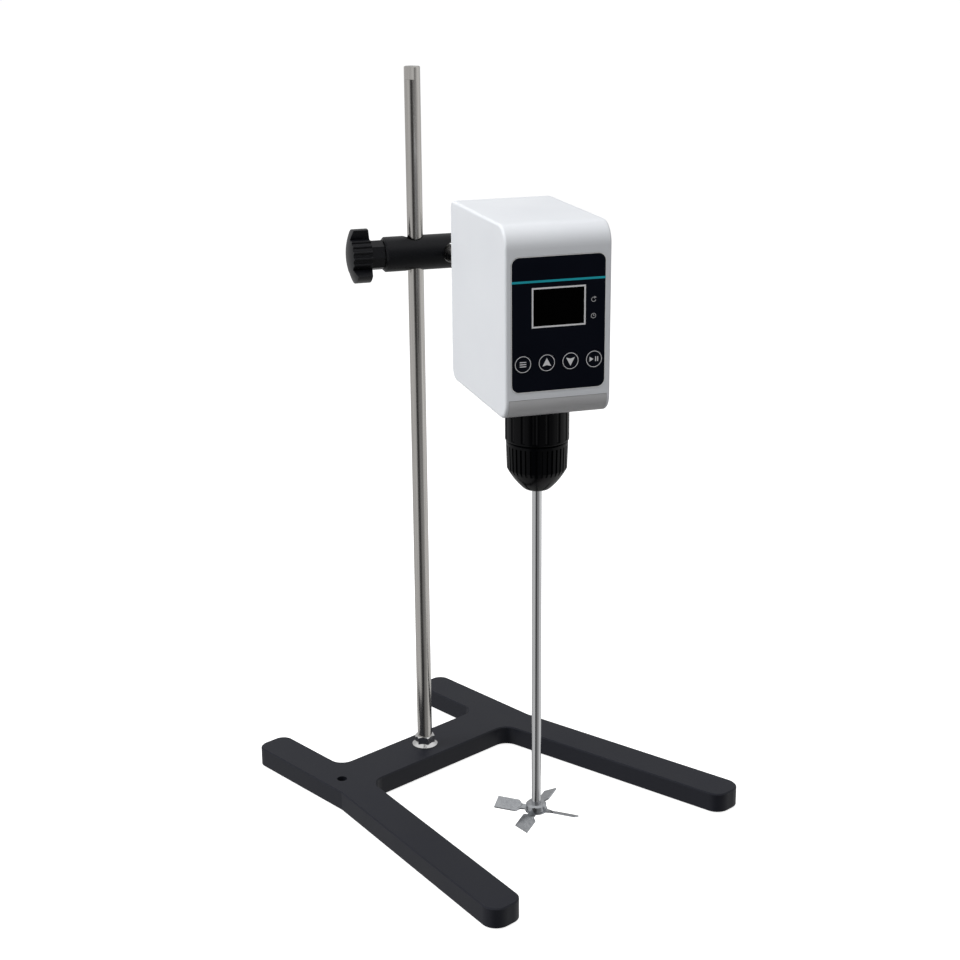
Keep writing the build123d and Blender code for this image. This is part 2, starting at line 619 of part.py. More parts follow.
def housing_shell():
    """White housing: roof, side walls, front and back, open below."""
    form = head_form()
    shell = form - side_prism(HEAD_WALL, HEAD_WIDTH - 2 * HEAD_WALL) - under_seam(0)
    # columns beside the side walls take the housing screws
    column_reach = HOUSING_SCREW_INSET_X - HEAD_WALL
    for place in housing_screw_places():
        column = pin(HOUSING_BOSS_DIAMETER, FRAME_TOP, FRAME_TOP + HOUSING_BOSS_HEIGHT)
        outward = column_reach / 2 * (1 if place.position.X > 0 else -1)
        web = Pos(outward, 0, FRAME_TOP + HOUSING_BOSS_HEIGHT / 2) * Box(
            column_reach, HOUSING_BOSS_DIAMETER, HOUSING_BOSS_HEIGHT
        )
        shell += place * (column + web)
        shell -= place * pin(HOUSING_SCREW_DIAMETER, FRAME_TOP - 1, FRAME_TOP + HOUSING_BOSS_HEIGHT - HOUSING_BOSS_ROOF)
    # recess for the control panel, with openings for the display and the buttons
    recess = RectangleRounded(
        PANEL_WIDTH + MOULD_GAP, PANEL_HEIGHT + MOULD_GAP, PANEL_RADIUS + MOULD_GAP / 2
    )
    shell -= Pos(0, -PANEL_FLOOR, PANEL_Z) * Rot(90, 0, 0) * extrude(recess, HEAD_WALL)
    shell -= block(
        WINDOW_LEDGE - WINDOW_WIDTH / 2, WINDOW_WIDTH / 2 - WINDOW_LEDGE, -HEAD_FRONT - 1, 1 - WALL_INSIDE,
        WINDOW_Z - WINDOW_HEIGHT / 2 + WINDOW_LEDGE, WINDOW_Z + WINDOW_HEIGHT / 2 - WINDOW_LEDGE,
    )
    for x in button_places():
        shell -= depth_bar(BUTTON_DIAMETER + 2 * MOULD_GAP, x, BUTTON_Z, WALL_INSIDE - 1, HEAD_FRONT + 1)
    # openings in the back for the support rod, the power inlet and the switch
    wall = (HEAD_REAR - 1, HEAD_REAR + HEAD_WALL + 1)
    shell -= depth_bar(ARM_ROD_DIAMETER + 2 * LOOSE, 0, 0, *wall)
    shell -= depth_bar(INLET_DIAMETER + 2 * RUN_FIT, INLET_X, REAR_ROW_Z, *wall)
    switch = switch_body_size(RUN_FIT)
    return shell - Pos(SWITCH_X, -HEAD_REAR, REAR_ROW_Z) * Box(switch[0], 4 * HEAD_WALL, switch[1])


def bottom_cover():
    """Bottom cover with a curved lip at the front and back, let in between the side walls."""
    cover = head_form() & under_seam(MOULD_GAP)
    cover -= side_prism(HEAD_WALL, HEAD_WIDTH)
    cover -= Pos(0, -DRIVE_REACH, 0) * pin(BEARING_NOSE_DIAMETER + 2 * LOOSE, HEAD_BOTTOM - 1, COVER_FLOOR + 1)
    for place in housing_screw_places():
        cover += place * pin(HOUSING_BOSS_DIAMETER, HEAD_BOTTOM + HEAD_WALL / 2, FRAME_BOTTOM)
        cover -= place * pin(HOUSING_SCREW_DIAMETER + 2 * RUN_FIT, HEAD_BOTTOM - 1, FRAME_BOTTOM + 1)
        sink = pin(HOUSING_HEAD_DIAMETER + 2 * RUN_FIT, HEAD_BOTTOM - 1, HEAD_BOTTOM + SCREW_HEAD_HEIGHT)
        cover -= place * sink
    return cover


def housing_screws():
    """Four pan-head screws with cross recesses left plain."""
    tip = FRAME_TOP + HOUSING_BOSS_HEIGHT - HOUSING_BOSS_ROOF - SCREW_END_GAP
    under_head = HEAD_BOTTOM + SCREW_HEAD_HEIGHT
    screw = pin(HOUSING_SCREW_DIAMETER - 2 * RUN_FIT, under_head, tip)
    screw += pin(HOUSING_HEAD_DIAMETER, HEAD_BOTTOM + RUN_FIT, under_head)
    return together([place * screw for place in housing_screw_places()])


# ---------------------------------------------------------------- inner frame and the socket of the rod
def motor_screw_places():
    """Four motor screws about the drive axis."""
    middle = Pos(0, -DRIVE_REACH, 0)
    return [middle * place for place in PolarLocations(MOTOR_SCREW_CIRCLE / 2, 4, start_angle=45)]


def socket_screw_places():
    """Three socket screws about the axis of the support rod, as heights and offsets."""
    return PolarLocations(SOCKET_SCREW_CIRCLE / 2, 3, start_angle=90)


def motor_frame():
    """Angle of sheet aluminium: a floor for the motor and an upright for the socket."""
    half = HALF_WIDTH - HEAD_WALL - FRAME_SIDE_GAP
    floor = block(-half, half, FRAME_FRONT_GAP - HEAD_FRONT, -UPRIGHT_REAR, FRAME_BOTTOM, FRAME_TOP)
    upright = block(-half, half, -UPRIGHT_FRONT, -UPRIGHT_REAR, FRAME_BOTTOM, FRAME_UPRIGHT_TOP)
    # clearance for the rear row and for the columns of the housing
    window = block(
        -FRAME_WINDOW_WIDTH / 2, FRAME_WINDOW_WIDTH / 2, -UPRIGHT_FRONT - 1, 1 - UPRIGHT_REAR,
        REAR_ROW_Z - FRAME_WINDOW_HEIGHT / 2, REAR_ROW_Z + FRAME_WINDOW_HEIGHT / 2,
    )
    frame = floor + (upright - window)
    frame -= depth_bar(ARM_ROD_DIAMETER + 2 * LOOSE, 0, 0, UPRIGHT_REAR - 1, UPRIGHT_FRONT + 1)
    frame -= Pos(0, -DRIVE_REACH, 0) * pin(BEARING_NOSE_DIAMETER + 2 * RUN_FIT, FRAME_BOTTOM - 1, FRAME_TOP + 1)
    for place in housing_screw_places():
        frame -= place * pin(HOUSING_SCREW_DIAMETER + 2 * RUN_FIT, FRAME_BOTTOM - 1, FRAME_TOP + 1)
    for place in motor_screw_places():
        frame -= place * pin(MOTOR_SCREW_DIAMETER + 2 * RUN_FIT, FRAME_BOTTOM - 1, FRAME_TOP + 1)
    for place in standoff_places():
        frame -= place * pin(2 * RUN_FIT + STANDOFF_FLATS / 2, FRAME_BOTTOM - 1, FRAME_TOP + 1)
    hole = pin(SOCKET_SCREW_DIAMETER + 2 * RUN_FIT, UPRIGHT_REAR - 1, UPRIGHT_FRONT + 1)
    for place in socket_screw_places():
        frame -= Rot(90, 0, 0) * place * hole
    return frame


def rod_socket():
    """Turned socket for the support rod, with tapped holes for its screws and for a set screw."""
    socket = tube(SOCKET_DIAMETER, ARM_ROD_DIAMETER + 2 * RUN_FIT, UPRIGHT_FRONT, SOCKET_FRONT)
    for place in socket_screw_places():
        socket -= place * pin(SOCKET_SCREW_DIAMETER, UPRIGHT_FRONT - 1, UPRIGHT_FRONT + SOCKET_SCREW_DEPTH)
    socket = Rot(90, 0, 0) * socket
    return socket - Pos(0, -SET_SCREW_REACH, 0) * pin(SET_SCREW_DIAMETER, 0, SOCKET_DIAMETER)


def socket_screws():
    """Three screws through the frame's upright into the socket."""
    socket_screw_end = UPRIGHT_FRONT + SOCKET_SCREW_DEPTH
    screw = pin(SOCKET_SCREW_DIAMETER - 2 * RUN_FIT, UPRIGHT_REAR, socket_screw_end - SCREW_END_GAP)
    screw += pin(SOCKET_HEAD_DIAMETER, UPRIGHT_REAR - SOCKET_HEAD_HEIGHT, UPRIGHT_REAR)
    return together([Rot(90, 0, 0) * place * screw for place in socket_screw_places()])


def socket_set_screw():
    """Grub screw with a hexagon recess, over the support rod."""
    low = ARM_ROD_R + SEAT_GAP
    high = SOCKET_DIAMETER / 2
    screw = pin(SET_SCREW_DIAMETER - 2 * RUN_FIT, low, high)
    recess = extrude(RegularPolygon(SET_SCREW_DIAMETER / 4, 6, major_radius=False), SET_SCREW_DIAMETER / 2)
    return Pos(0, -SET_SCREW_REACH, 0) * (screw - Pos(0, 0, high - SET_SCREW_DIAMETER / 3) * recess)


# ---------------------------------------------------------------- control panel
def front_panel():
    """Thin black overlay in the recess of the housing, open at the display and the buttons."""
    outline = RectangleRounded(PANEL_WIDTH, PANEL_HEIGHT, PANEL_RADIUS)
    outline -= Pos(0, WINDOW_Z - PANEL_Z) * Rectangle(WINDOW_WIDTH, WINDOW_HEIGHT)
    for x in button_places():
        outline -= Pos(x, BUTTON_Z - PANEL_Z) * Circle(BUTTON_DIAMETER / 2 + MOULD_GAP)
    return Pos(0, -PANEL_FLOOR, PANEL_Z) * Rot(90, 0, 0) * extrude(outline, PANEL_THICKNESS)


def display_window():
    """Clear pane that lies in the opening of the overlay, on the ledge of the housing."""
    pane = Rectangle(WINDOW_WIDTH - MOULD_GAP, WINDOW_HEIGHT - MOULD_GAP)
    return Pos(0, -PANEL_FLOOR, WINDOW_Z) * Rot(90, 0, 0) * extrude(pane, PANEL_THICKNESS)


def display_module():
    """Display that stands on the control board and looks through the window."""
    body = block(
        -DISPLAY_WIDTH / 2, DISPLAY_WIDTH / 2, SEAT_GAP - WALL_INSIDE, -BOARD_FRONT,
        WINDOW_Z - DISPLAY_HEIGHT / 2, WINDOW_Z + DISPLAY_HEIGHT / 2,
    )
    glass = block(
        WINDOW_LEDGE + MOULD_GAP - WINDOW_WIDTH / 2, WINDOW_WIDTH / 2 - WINDOW_LEDGE - MOULD_GAP,
        MOULD_GAP - PANEL_FLOOR, SEAT_GAP - WALL_INSIDE,
        WINDOW_Z - WINDOW_HEIGHT / 2 + WINDOW_LEDGE + MOULD_GAP,
        WINDOW_Z + WINDOW_HEIGHT / 2 - WINDOW_LEDGE - MOULD_GAP,
    )
    return body + glass


def button(x):
    """Round button with a collar that keeps it behind the wall and a stem down to its switch."""
    cap = depth_bar(BUTTON_DIAMETER, x, BUTTON_Z, WALL_INSIDE - SEAT_GAP, PANEL_FACE + BUTTON_PROUD)
    rim = cap.faces().sort_by(Axis.Y)[0].edges()
    cap = fillet(rim, BUTTON_PROUD)
    back = WALL_INSIDE - SEAT_GAP - BUTTON_COLLAR
    collar = depth_bar(
        BUTTON_DIAMETER + 2 * BUTTON_COLLAR, x, BUTTON_Z, back, WALL_INSIDE - SEAT_GAP
    )
    stem_end = TACT_FRONT + BUTTON_TRAVEL + SEAT_GAP + TACT_PLUNGER_PROUD
    stem = depth_bar(BUTTON_STEM_DIAMETER, x, BUTTON_Z, stem_end, back)
    return cap + collar + stem


def control_board():
    """Circuit board behind the panel, on two posts from the frame's floor."""
    half = CONTROL_BOARD_WIDTH / 2
    top = PANEL_Z + CONTROL_BOARD_HEIGHT / 2
    low = PANEL_Z - CONTROL_BOARD_HEIGHT / 2
    back = BOARD_FRONT - BOARD_THICKNESS
    board = block(-half, half, -BOARD_FRONT, -back, low, top)
    # two angle feet carry the board down onto the frame
    for side in (-1, 1):
        x = side * BOARD_FOOT_X
        foot = block(x - BOARD_FOOT_WIDTH / 2, x + BOARD_FOOT_WIDTH / 2, -back, BOARD_THICKNESS - back,
                     FRAME_TOP, low + BOARD_FOOT_WIDTH)
        foot += block(x - BOARD_FOOT_WIDTH / 2, x + BOARD_FOOT_WIDTH / 2, -back, BOARD_FOOT_WIDTH - back,
                      FRAME_TOP, FRAME_TOP + BOARD_THICKNESS)
        board += foot
    return board


def tact_switches():
    """Four push switches on the control board, one behind each button."""
    pieces = []
    for x in button_places():
        body = block(
            x - TACT_SIZE / 2, x + TACT_SIZE / 2, -TACT_FRONT, -BOARD_FRONT,
            BUTTON_Z - TACT_SIZE / 2, BUTTON_Z + TACT_SIZE / 2,
        )
        plunger = depth_bar(
            TACT_PLUNGER_DIAMETER, x, BUTTON_Z, TACT_FRONT, TACT_FRONT + TACT_PLUNGER_PROUD
        )
        pieces.append(body + plunger)
    return together(pieces)


# ---------------------------------------------------------------- rear of the head and the driver board
def power_inlet():
    """Threaded barrel socket for a low-voltage supply, with its nut inside the housing."""
    inside = HEAD_REAR + HEAD_WALL
    body = pin(INLET_DIAMETER, HEAD_REAR, HEAD_REAR + INLET_LENGTH)
    body += pin(INLET_FLANGE_DIAMETER, HEAD_REAR - INLET_FLANGE, HEAD_REAR)
    nut = extrude(RegularPolygon(INLET_FLANGE_DIAMETER / 2, 6, major_radius=False), INLET_FLANGE)
    body += Pos(0, 0, inside) * nut
    body -= pin(INLET_BORE_DIAMETER, HEAD_REAR - INLET_FLANGE - 1, HEAD_REAR + INLET_DEPTH)
    body += pin(INLET_PIN_DIAMETER, HEAD_REAR, HEAD_REAR + INLET_DEPTH + 1)
    return Pos(INLET_X, 0, REAR_ROW_Z) * Rot(90, 0, 0) * body


def switch_body_size(gap):
    """Width and height of the switch behind its bezel."""
    rim = SWITCH_WALL
    return SWITCH_BEZEL_WIDTH - 2 * rim + 2 * gap, SWITCH_BEZEL_HEIGHT - 2 * rim + 2 * gap


def power_switch_body():
    """Snap-in body of the rocker switch: a bezel outside the wall and an open case behind it."""
    width, height = switch_body_size(0)
    body = Pos(0, -SWITCH_DEPTH / 2, 0) * Box(width, SWITCH_DEPTH, height)
    bezel = Pos(0, SWITCH_BEZEL_THICKNESS / 2, 0) * Box(
        SWITCH_BEZEL_WIDTH, SWITCH_BEZEL_THICKNESS, SWITCH_BEZEL_HEIGHT
    )
    bezel = chamfer(bezel.faces().sort_by(Axis.Y)[-1].edges(), SWITCH_BEZEL_THICKNESS / 3)
    body += bezel
    inner = (width - 2 * SWITCH_WALL, height - 2 * SWITCH_WALL)
    body -= Pos(0, SWITCH_BEZEL_THICKNESS - SWITCH_POCKET / 2 + 1, 0) * Box(
        inner[0], SWITCH_POCKET + 2, inner[1]
    )
    half_pin = width / 2 - SWITCH_WALL / 2 + RUN_FIT
    body -= Pos(0, ROCKER_PIVOT_Y, 0) * along_x * pin(ROCKER_PIVOT_DIAMETER + 2 * RUN_FIT, -half_pin, half_pin)
    return Pos(SWITCH_X, -HEAD_REAR, REAR_ROW_Z) * body


def power_switch_rocker():
    """Rocker with two shallow faces, tipped to its off position, on a pin through the case."""
    width, height = switch_body_size(0)
    half = height / 2 - SWITCH_WALL - ROCKER_END_GAP
    crest = SWITCH_BEZEL_THICKNESS + ROCKER_PROUD
    shoulder = ROCKER_PIVOT_Y - ROCKER_SHOULDER
    keel = ROCKER_PIVOT_Y - ROCKER_KEEL
    outline = make_face(
        Polyline(
            (crest, -half),
            (crest - ROCKER_DISH, 0),
            (crest, half),
            (shoulder, half - ROCKER_TAPER),
            (keel, half / 3),
            (keel, -half / 3),
            (shoulder, ROCKER_TAPER - half),
            close=True,
        )
    )
    thick = width / 2 - SWITCH_WALL - MOULD_GAP
    rocker = extrude(Plane.YZ * outline, thick, both=True)
    pivot = Pos(0, ROCKER_PIVOT_Y, 0)
    half_pin = width / 2 - SWITCH_WALL / 2
    rocker += pivot * along_x * pin(ROCKER_PIVOT_DIAMETER, -half_pin, half_pin)
    rocker = pivot * Rot(ROCKER_TILT, 0, 0) * Pos(0, -ROCKER_PIVOT_Y, 0) * rocker
    return Pos(SWITCH_X, -HEAD_REAR, REAR_ROW_Z) * rocker


def standoff_places():
    """Corners of the driver board, inside its edges."""
    x = DRIVER_BOARD_WIDTH / 2 - STANDOFF_FLATS
    near = HEAD_REAR + DRIVER_BOARD_REAR + STANDOFF_FLATS
    far = HEAD_REAR + DRIVER_BOARD_REAR + DRIVER_BOARD_DEPTH - STANDOFF_FLATS
    return [Pos(side * x, -v, 0) for side in (-1, 1) for v in (near, far)]


def board_standoffs():
    """Four hexagon pillars with a pin into the frame and one into the board."""
    pillar = extrude(RegularPolygon(STANDOFF_FLATS / 2, 6, major_radius=False), STANDOFF_HEIGHT)
    pillar += pin(STANDOFF_FLATS / 2, -FRAME_THICKNESS / 2, STANDOFF_HEIGHT + BOARD_THICKNESS + STANDOFF_TIP)
    return together([place * Pos(0, 0, FRAME_TOP) * pillar for place in standoff_places()])


def driver_board():
    """Motor driver: a board with two capacitors, a heat sink and a connector."""
    low = FRAME_TOP + STANDOFF_HEIGHT
    top = low + BOARD_THICKNESS
    half = DRIVER_BOARD_WIDTH / 2
    rear = HEAD_REAR + DRIVER_BOARD_REAR
    board = block(-half, half, -rear - DRIVER_BOARD_DEPTH, -rear, low, top)
    for place in standoff_places():
        board -= place * pin(STANDOFF_FLATS / 2 + 2 * RUN_FIT, low - 1, top + 1)
    row = -rear - DRIVER_BOARD_DEPTH + CAPACITOR_INSET
    for x in (-CAPACITOR_PITCH / 2, CAPACITOR_PITCH / 2):
        board += Pos(x, row, 0) * pin(CAPACITOR_DIAMETER, top, top + CAPACITOR_HEIGHT)
    sink = Pos(SINK_X, row, top + CAPACITOR_HEIGHT / 2) * Box(SINK_THICKNESS, SINK_LENGTH, CAPACITOR_HEIGHT)
    connector_y = -rear - CONNECTOR_INSET - CONNECTOR_SIZE / 2
    connector = Pos(CONNECTOR_X, connector_y, top + CONNECTOR_SIZE / 2) * Box(
        CONNECTOR_WIDTH, CONNECTOR_SIZE, CONNECTOR_SIZE
    )
    return board + sink + connector


# ---------------------------------------------------------------- motor, bearings and spindle
MOTOR_TOP = FRAME_TOP + MOTOR_LENGTH
FLANGE_TOP = FRAME_TOP + MOTOR_FLANGE
STATOR_BOTTOM = FLANGE_TOP + STATOR_LIFT
UPPER_BEARING_TOP = MOTOR_TOP - MOTOR_WALL
UPPER_BEARING_BOTTOM = UPPER_BEARING_TOP - UPPER_BEARING_WIDTH


def motor_can():
    """Drawn steel can of the motor, with a pocket for the upper bearing in its roof."""
    can = pin(MOTOR_DIAMETER, FLANGE_TOP, MOTOR_TOP)
    can = chamfer(can.edges().group_by(Axis.Z)[-1], MOTOR_WALL / 2)
    can -= pin(MOTOR_DIAMETER - 2 * MOTOR_WALL, FLANGE_TOP - 1, UPPER_BEARING_TOP)
    pocket = UPPER_BEARING_DIAMETER + 2 * RUN_FIT
    return can + tube(pocket + 2 * MOTOR_WALL, pocket, UPPER_BEARING_BOTTOM, UPPER_BEARING_TOP)


def stator_core():
    """Laminated ring with slots that open into its bore."""
    top = STATOR_BOTTOM + STATOR_LENGTH
    outer = MOTOR_DIAMETER - 2 * MOTOR_WALL - 2 * RUN_FIT
    core = tube(outer, STATOR_BORE, STATOR_BOTTOM, top)
    slot_in = STATOR_BORE / 2 + STATOR_TOOTH_TIP
    slot_out = outer / 2 - STATOR_BACK
    height = (STATOR_BOTTOM - 1, top + 1)
    slot = block(slot_in, slot_out, -STATOR_SLOT_WIDTH / 2, STATOR_SLOT_WIDTH / 2, *height)
    slot += block(STATOR_BORE / 4, slot_in, -STATOR_SLOT_OPENING / 2, STATOR_SLOT_OPENING / 2, *height)
    for place in PolarLocations(0, STATOR_SLOTS):
        core -= place * slot
    return core


def bearing_housing():
    """Flange that closes the motor and a nose through the floor, with the lower bearing in it."""
    nose_end = HEAD_BOTTOM + CHUCK_GAP / 2
    housing = pin(MOTOR_DIAMETER, FRAME_TOP, FLANGE_TOP) + pin(BEARING_NOSE_DIAMETER, nose_end, FRAME_TOP)
    housing -= pin(LOWER_BEARING_DIAMETER + 2 * RUN_FIT, FLANGE_TOP - LOWER_BEARING_WIDTH, FLANGE_TOP + 1)
    housing -= pin(SPINDLE_DIAMETER + 2 * LOOSE, nose_end - 1, FLANGE_TOP)
    for place in PolarLocations(MOTOR_SCREW_CIRCLE / 2, 4, start_angle=45):
        housing -= place * pin(MOTOR_SCREW_DIAMETER, FRAME_TOP - 1, FLANGE_TOP + 1)
    return housing


def motor_screws():
    """Four screws from under the frame into the motor's flange."""
    screw = pin(MOTOR_SCREW_DIAMETER - 2 * RUN_FIT, FRAME_BOTTOM, FLANGE_TOP - RUN_FIT)
    screw += pin(MOTOR_HEAD_DIAMETER, FRAME_BOTTOM - SCREW_HEAD_HEIGHT, FRAME_BOTTOM)
    places = PolarLocations(MOTOR_SCREW_CIRCLE / 2, 4, start_angle=45)
    return together([place * screw for place in places])


def lower_bearing():
    return tube(
        LOWER_BEARING_DIAMETER, SPINDLE_DIAMETER + 2 * RUN_FIT, FLANGE_TOP - LOWER_BEARING_WIDTH, FLANGE_TOP
    )


def upper_bearing():
    return tube(
        UPPER_BEARING_DIAMETER, SPINDLE_TOP_DIAMETER + 2 * RUN_FIT, UPPER_BEARING_BOTTOM, UPPER_BEARING_TOP
    )


def spindle():
    """Stepped motor shaft, bored from below for the end of the stirring shaft."""
    rotor_bottom = STATOR_BOTTOM - STATOR_LIFT / 2
    bar = pin(SPINDLE_DIAMETER, CHUCK_SEAT, rotor_bottom)
    bar += pin(SPINDLE_MOTOR_DIAMETER, rotor_bottom, UPPER_BEARING_BOTTOM - LOOSE)
    bar += pin(SPINDLE_TOP_DIAMETER, UPPER_BEARING_BOTTOM - LOOSE, UPPER_BEARING_TOP - LOOSE)
    return bar - pin(SPINDLE_BORE, CHUCK_SEAT - 1, CHUCK_SEAT + SPINDLE_BORE_DEPTH)


def rotor_magnet():
    """Magnet ring pressed on the spindle inside the stator."""
    return tube(ROTOR_DIAMETER, SPINDLE_MOTOR_DIAMETER, STATOR_BOTTOM, STATOR_BOTTOM + STATOR_LENGTH)


# ---------------------------------------------------------------- three-jaw keyless chuck
def jaw_axis(turn):
    """Place of a jaw's sloping axis: z runs up and outward from the end of the nose."""
    start = Pos(JAW_START_RADIUS, 0, CHUCK_END)
    return Rot(0, 0, turn) * start * Rot(0, JAW_ANGLE, 0)


def jaw_turns():
    return [BLADE_TURN + index * 120 for index in range(3)]


def chuck_jaw(turn):
    """Round jaw on a slope, cut flat towards the shaft and to a wedge towards its neighbours."""
    jaw = jaw_axis(turn) * pin(JAW_DIAMETER, -JAW_DIAMETER, JAW_LENGTH)
    reach = 2 * CHUCK_SHOULDER_DIAMETER
    wedge = make_face(
        Polyline(
            (JAW_SIDE_GAP, 0),
            (reach, -(reach - JAW_SIDE_GAP) * math.tan(math.radians(60))),
            (reach, (reach - JAW_SIDE_GAP) * math.tan(math.radians(60))),
            close=True,
        )
    )
    grip = SHAFT_R + RUN_FIT
    tip = CHUCK_END - JAW_PROUD
    sector = Pos(0, 0, tip) * extrude(wedge, 2 * JAW_LENGTH)
    sector &= block(grip, 2 * reach, -2 * reach, 2 * reach, tip, tip + 2 * JAW_LENGTH)
    return jaw & (Rot(0, 0, turn) * sector)


def chuck_body():
    """Steel body with three sloping bores for the jaws and a waist that the nut runs round."""
    half_nose = CHUCK_NOSE_DIAMETER / 2
    half_waist = CHUCK_WAIST_DIAMETER / 2
    half_shoulder = CHUCK_SHOULDER_DIAMETER / 2
    half_hub = CHUCK_HUB_DIAMETER / 2
    flare = CHUCK_END + CHUCK_NOSE_LENGTH
    outline = make_face(
        Polyline(
            (0, CHUCK_END),
            (half_nose, CHUCK_END),
            (half_nose, flare),
            (half_waist, flare + half_waist - half_nose),
            (half_waist, NUT_TOP_Z + SEAT_GAP),
            (half_shoulder, NUT_TOP_Z + SEAT_GAP),
            (half_shoulder, SHOULDER_TOP),
            (half_hub, SHOULDER_TOP),
            (half_hub, CHUCK_TOP),
            (0, CHUCK_TOP),
            close=True,
        )
    )
    body = revolve(Plane.XZ * outline, Axis.Z)
    body -= pin(CHUCK_BORE, CHUCK_END - 1, CHUCK_SEAT)
    body -= pin(SPINDLE_DIAMETER, CHUCK_SEAT, CHUCK_TOP + 1)
    bore = pin(JAW_DIAMETER + 2 * JAW_CLEARANCE, -JAW_DIAMETER, JAW_LENGTH + JAW_STROKE + 1)
    for turn in jaw_turns():
        body -= jaw_axis(turn) * bore
    return body


def chuck_nut():
    """Ring whose tapered bore follows the backs of the jaws; its thread is left plain."""
    slope = math.tan(math.radians(JAW_ANGLE))
    back = JAW_START_RADIUS + JAW_DIAMETER / 2 / math.cos(math.radians(JAW_ANGLE)) + SEAT_GAP
    low = back + (NUT_BOTTOM_Z - CHUCK_END) * slope
    high = back + (NUT_TOP_Z - CHUCK_END) * slope
    outline = make_face(
        Polyline(
            (low, NUT_BOTTOM_Z),
            (CHUCK_NUT_DIAMETER / 2, NUT_BOTTOM_Z),
            (CHUCK_NUT_DIAMETER / 2, NUT_TOP_Z),
            (high, NUT_TOP_Z),
            close=True,
        )
    )
    return revolve(Plane.XZ * outline, Axis.Z)


def chuck_rear_sleeve():
    """Upper sleeve, fixed to the body, with shallow flutes down its side."""
    outer = REAR_SLEEVE_DIAMETER / 2
    sleeve = pin(REAR_SLEEVE_DIAMETER, REAR_SLEEVE_BOTTOM, CHUCK_TOP)
    sleeve = fillet(sleeve.edges().group_by(Axis.Z)[0], SLEEVE_EDGE_RADIUS)
    sleeve -= pin(CHUCK_HUB_DIAMETER, REAR_SLEEVE_BOTTOM - 1, CHUCK_TOP + 1)
    sleeve -= pin(REAR_SLEEVE_DIAMETER - 2 * SLEEVE_WALL, REAR_SLEEVE_BOTTOM - 1, CHUCK_TOP - REAR_SLEEVE_WEB)
    flute_radius = FLUTE_WIDTH
    flute = Pos(outer + flute_radius - FLUTE_DEPTH, 0, 0) * pin(
        2 * flute_radius, REAR_SLEEVE_BOTTOM + FLUTE_END, CHUCK_TOP + 1
    )
    for place in PolarLocations(0, REAR_SLEEVE_FLUTES):
        sleeve -= place * flute
    return sleeve


def chuck_front_sleeve():
    """Lower sleeve that turns the nut: a ribbed grip that narrows to a smooth rounded nose."""
    top = FRONT_SLEEVE_TOP_DIAMETER / 2
    grip = FRONT_SLEEVE_GRIP_DIAMETER / 2
    mouth = FRONT_SLEEVE_MOUTH / 2
    nut = CHUCK_NUT_DIAMETER / 2
    high = FRONT_SLEEVE_TOP_Z
    knee = high - FRONT_SLEEVE_GRIP
    low = knee - FRONT_SLEEVE_NOSE
    outline = make_face(
        [
            Line((mouth, low), (mouth + SLEEVE_EDGE_RADIUS, low)),
            ThreePointArc(
                (mouth + SLEEVE_EDGE_RADIUS, low),
                (mouth + (grip - mouth) * NOSE_BULGE_OUT, low + FRONT_SLEEVE_NOSE * NOSE_BULGE_UP),
                (grip, knee),
            ),
            Line((grip, knee), (top, high - SLEEVE_EDGE_RADIUS)),
            Line((top, high - SLEEVE_EDGE_RADIUS), (top - SLEEVE_EDGE_RADIUS, high)),
            Line((top - SLEEVE_EDGE_RADIUS, high), (nut + SLEEVE_STEP, high)),
            Line((nut + SLEEVE_STEP, high), (nut + SLEEVE_STEP, NUT_TOP_Z)),
            Line((nut + SLEEVE_STEP, NUT_TOP_Z), (nut, NUT_TOP_Z)),
            Line((nut, NUT_TOP_Z), (nut, NUT_BOTTOM_Z)),
            Line((nut, NUT_BOTTOM_Z), (mouth, low + SLEEVE_WALL)),
            Line((mouth, low + SLEEVE_WALL), (mouth, low)),
        ]
    )
    sleeve = revolve(Plane.XZ * outline, Axis.Z)
    # grooves between the ribs run out on the rounded nose
    groove = block(
        grip - FLUTE_DEPTH, 2 * grip, -RIB_GROOVE_WIDTH / 2, RIB_GROOVE_WIDTH / 2,
        knee - GROOVE_RUNOUT, high - GROOVE_TOP_GAP,
    )
    lean = Pos(grip, 0, high) * Rot(0, GROOVE_LEAN, 0) * Pos(-grip, 0, -high)
    for place in PolarLocations(0, FRONT_SLEEVE_RIBS):
        sleeve -= place * lean * groove
    return sleeve


# ---------------------------------------------------------------- stirring shaft and impeller
def stirring_shaft():
    shaft = pin(SHAFT_DIAMETER, SHAFT_LOW, SHAFT_TOP)
    return chamfer(shaft.edges().group_by(Axis.Z)[-1], ROD_END_BREAK)


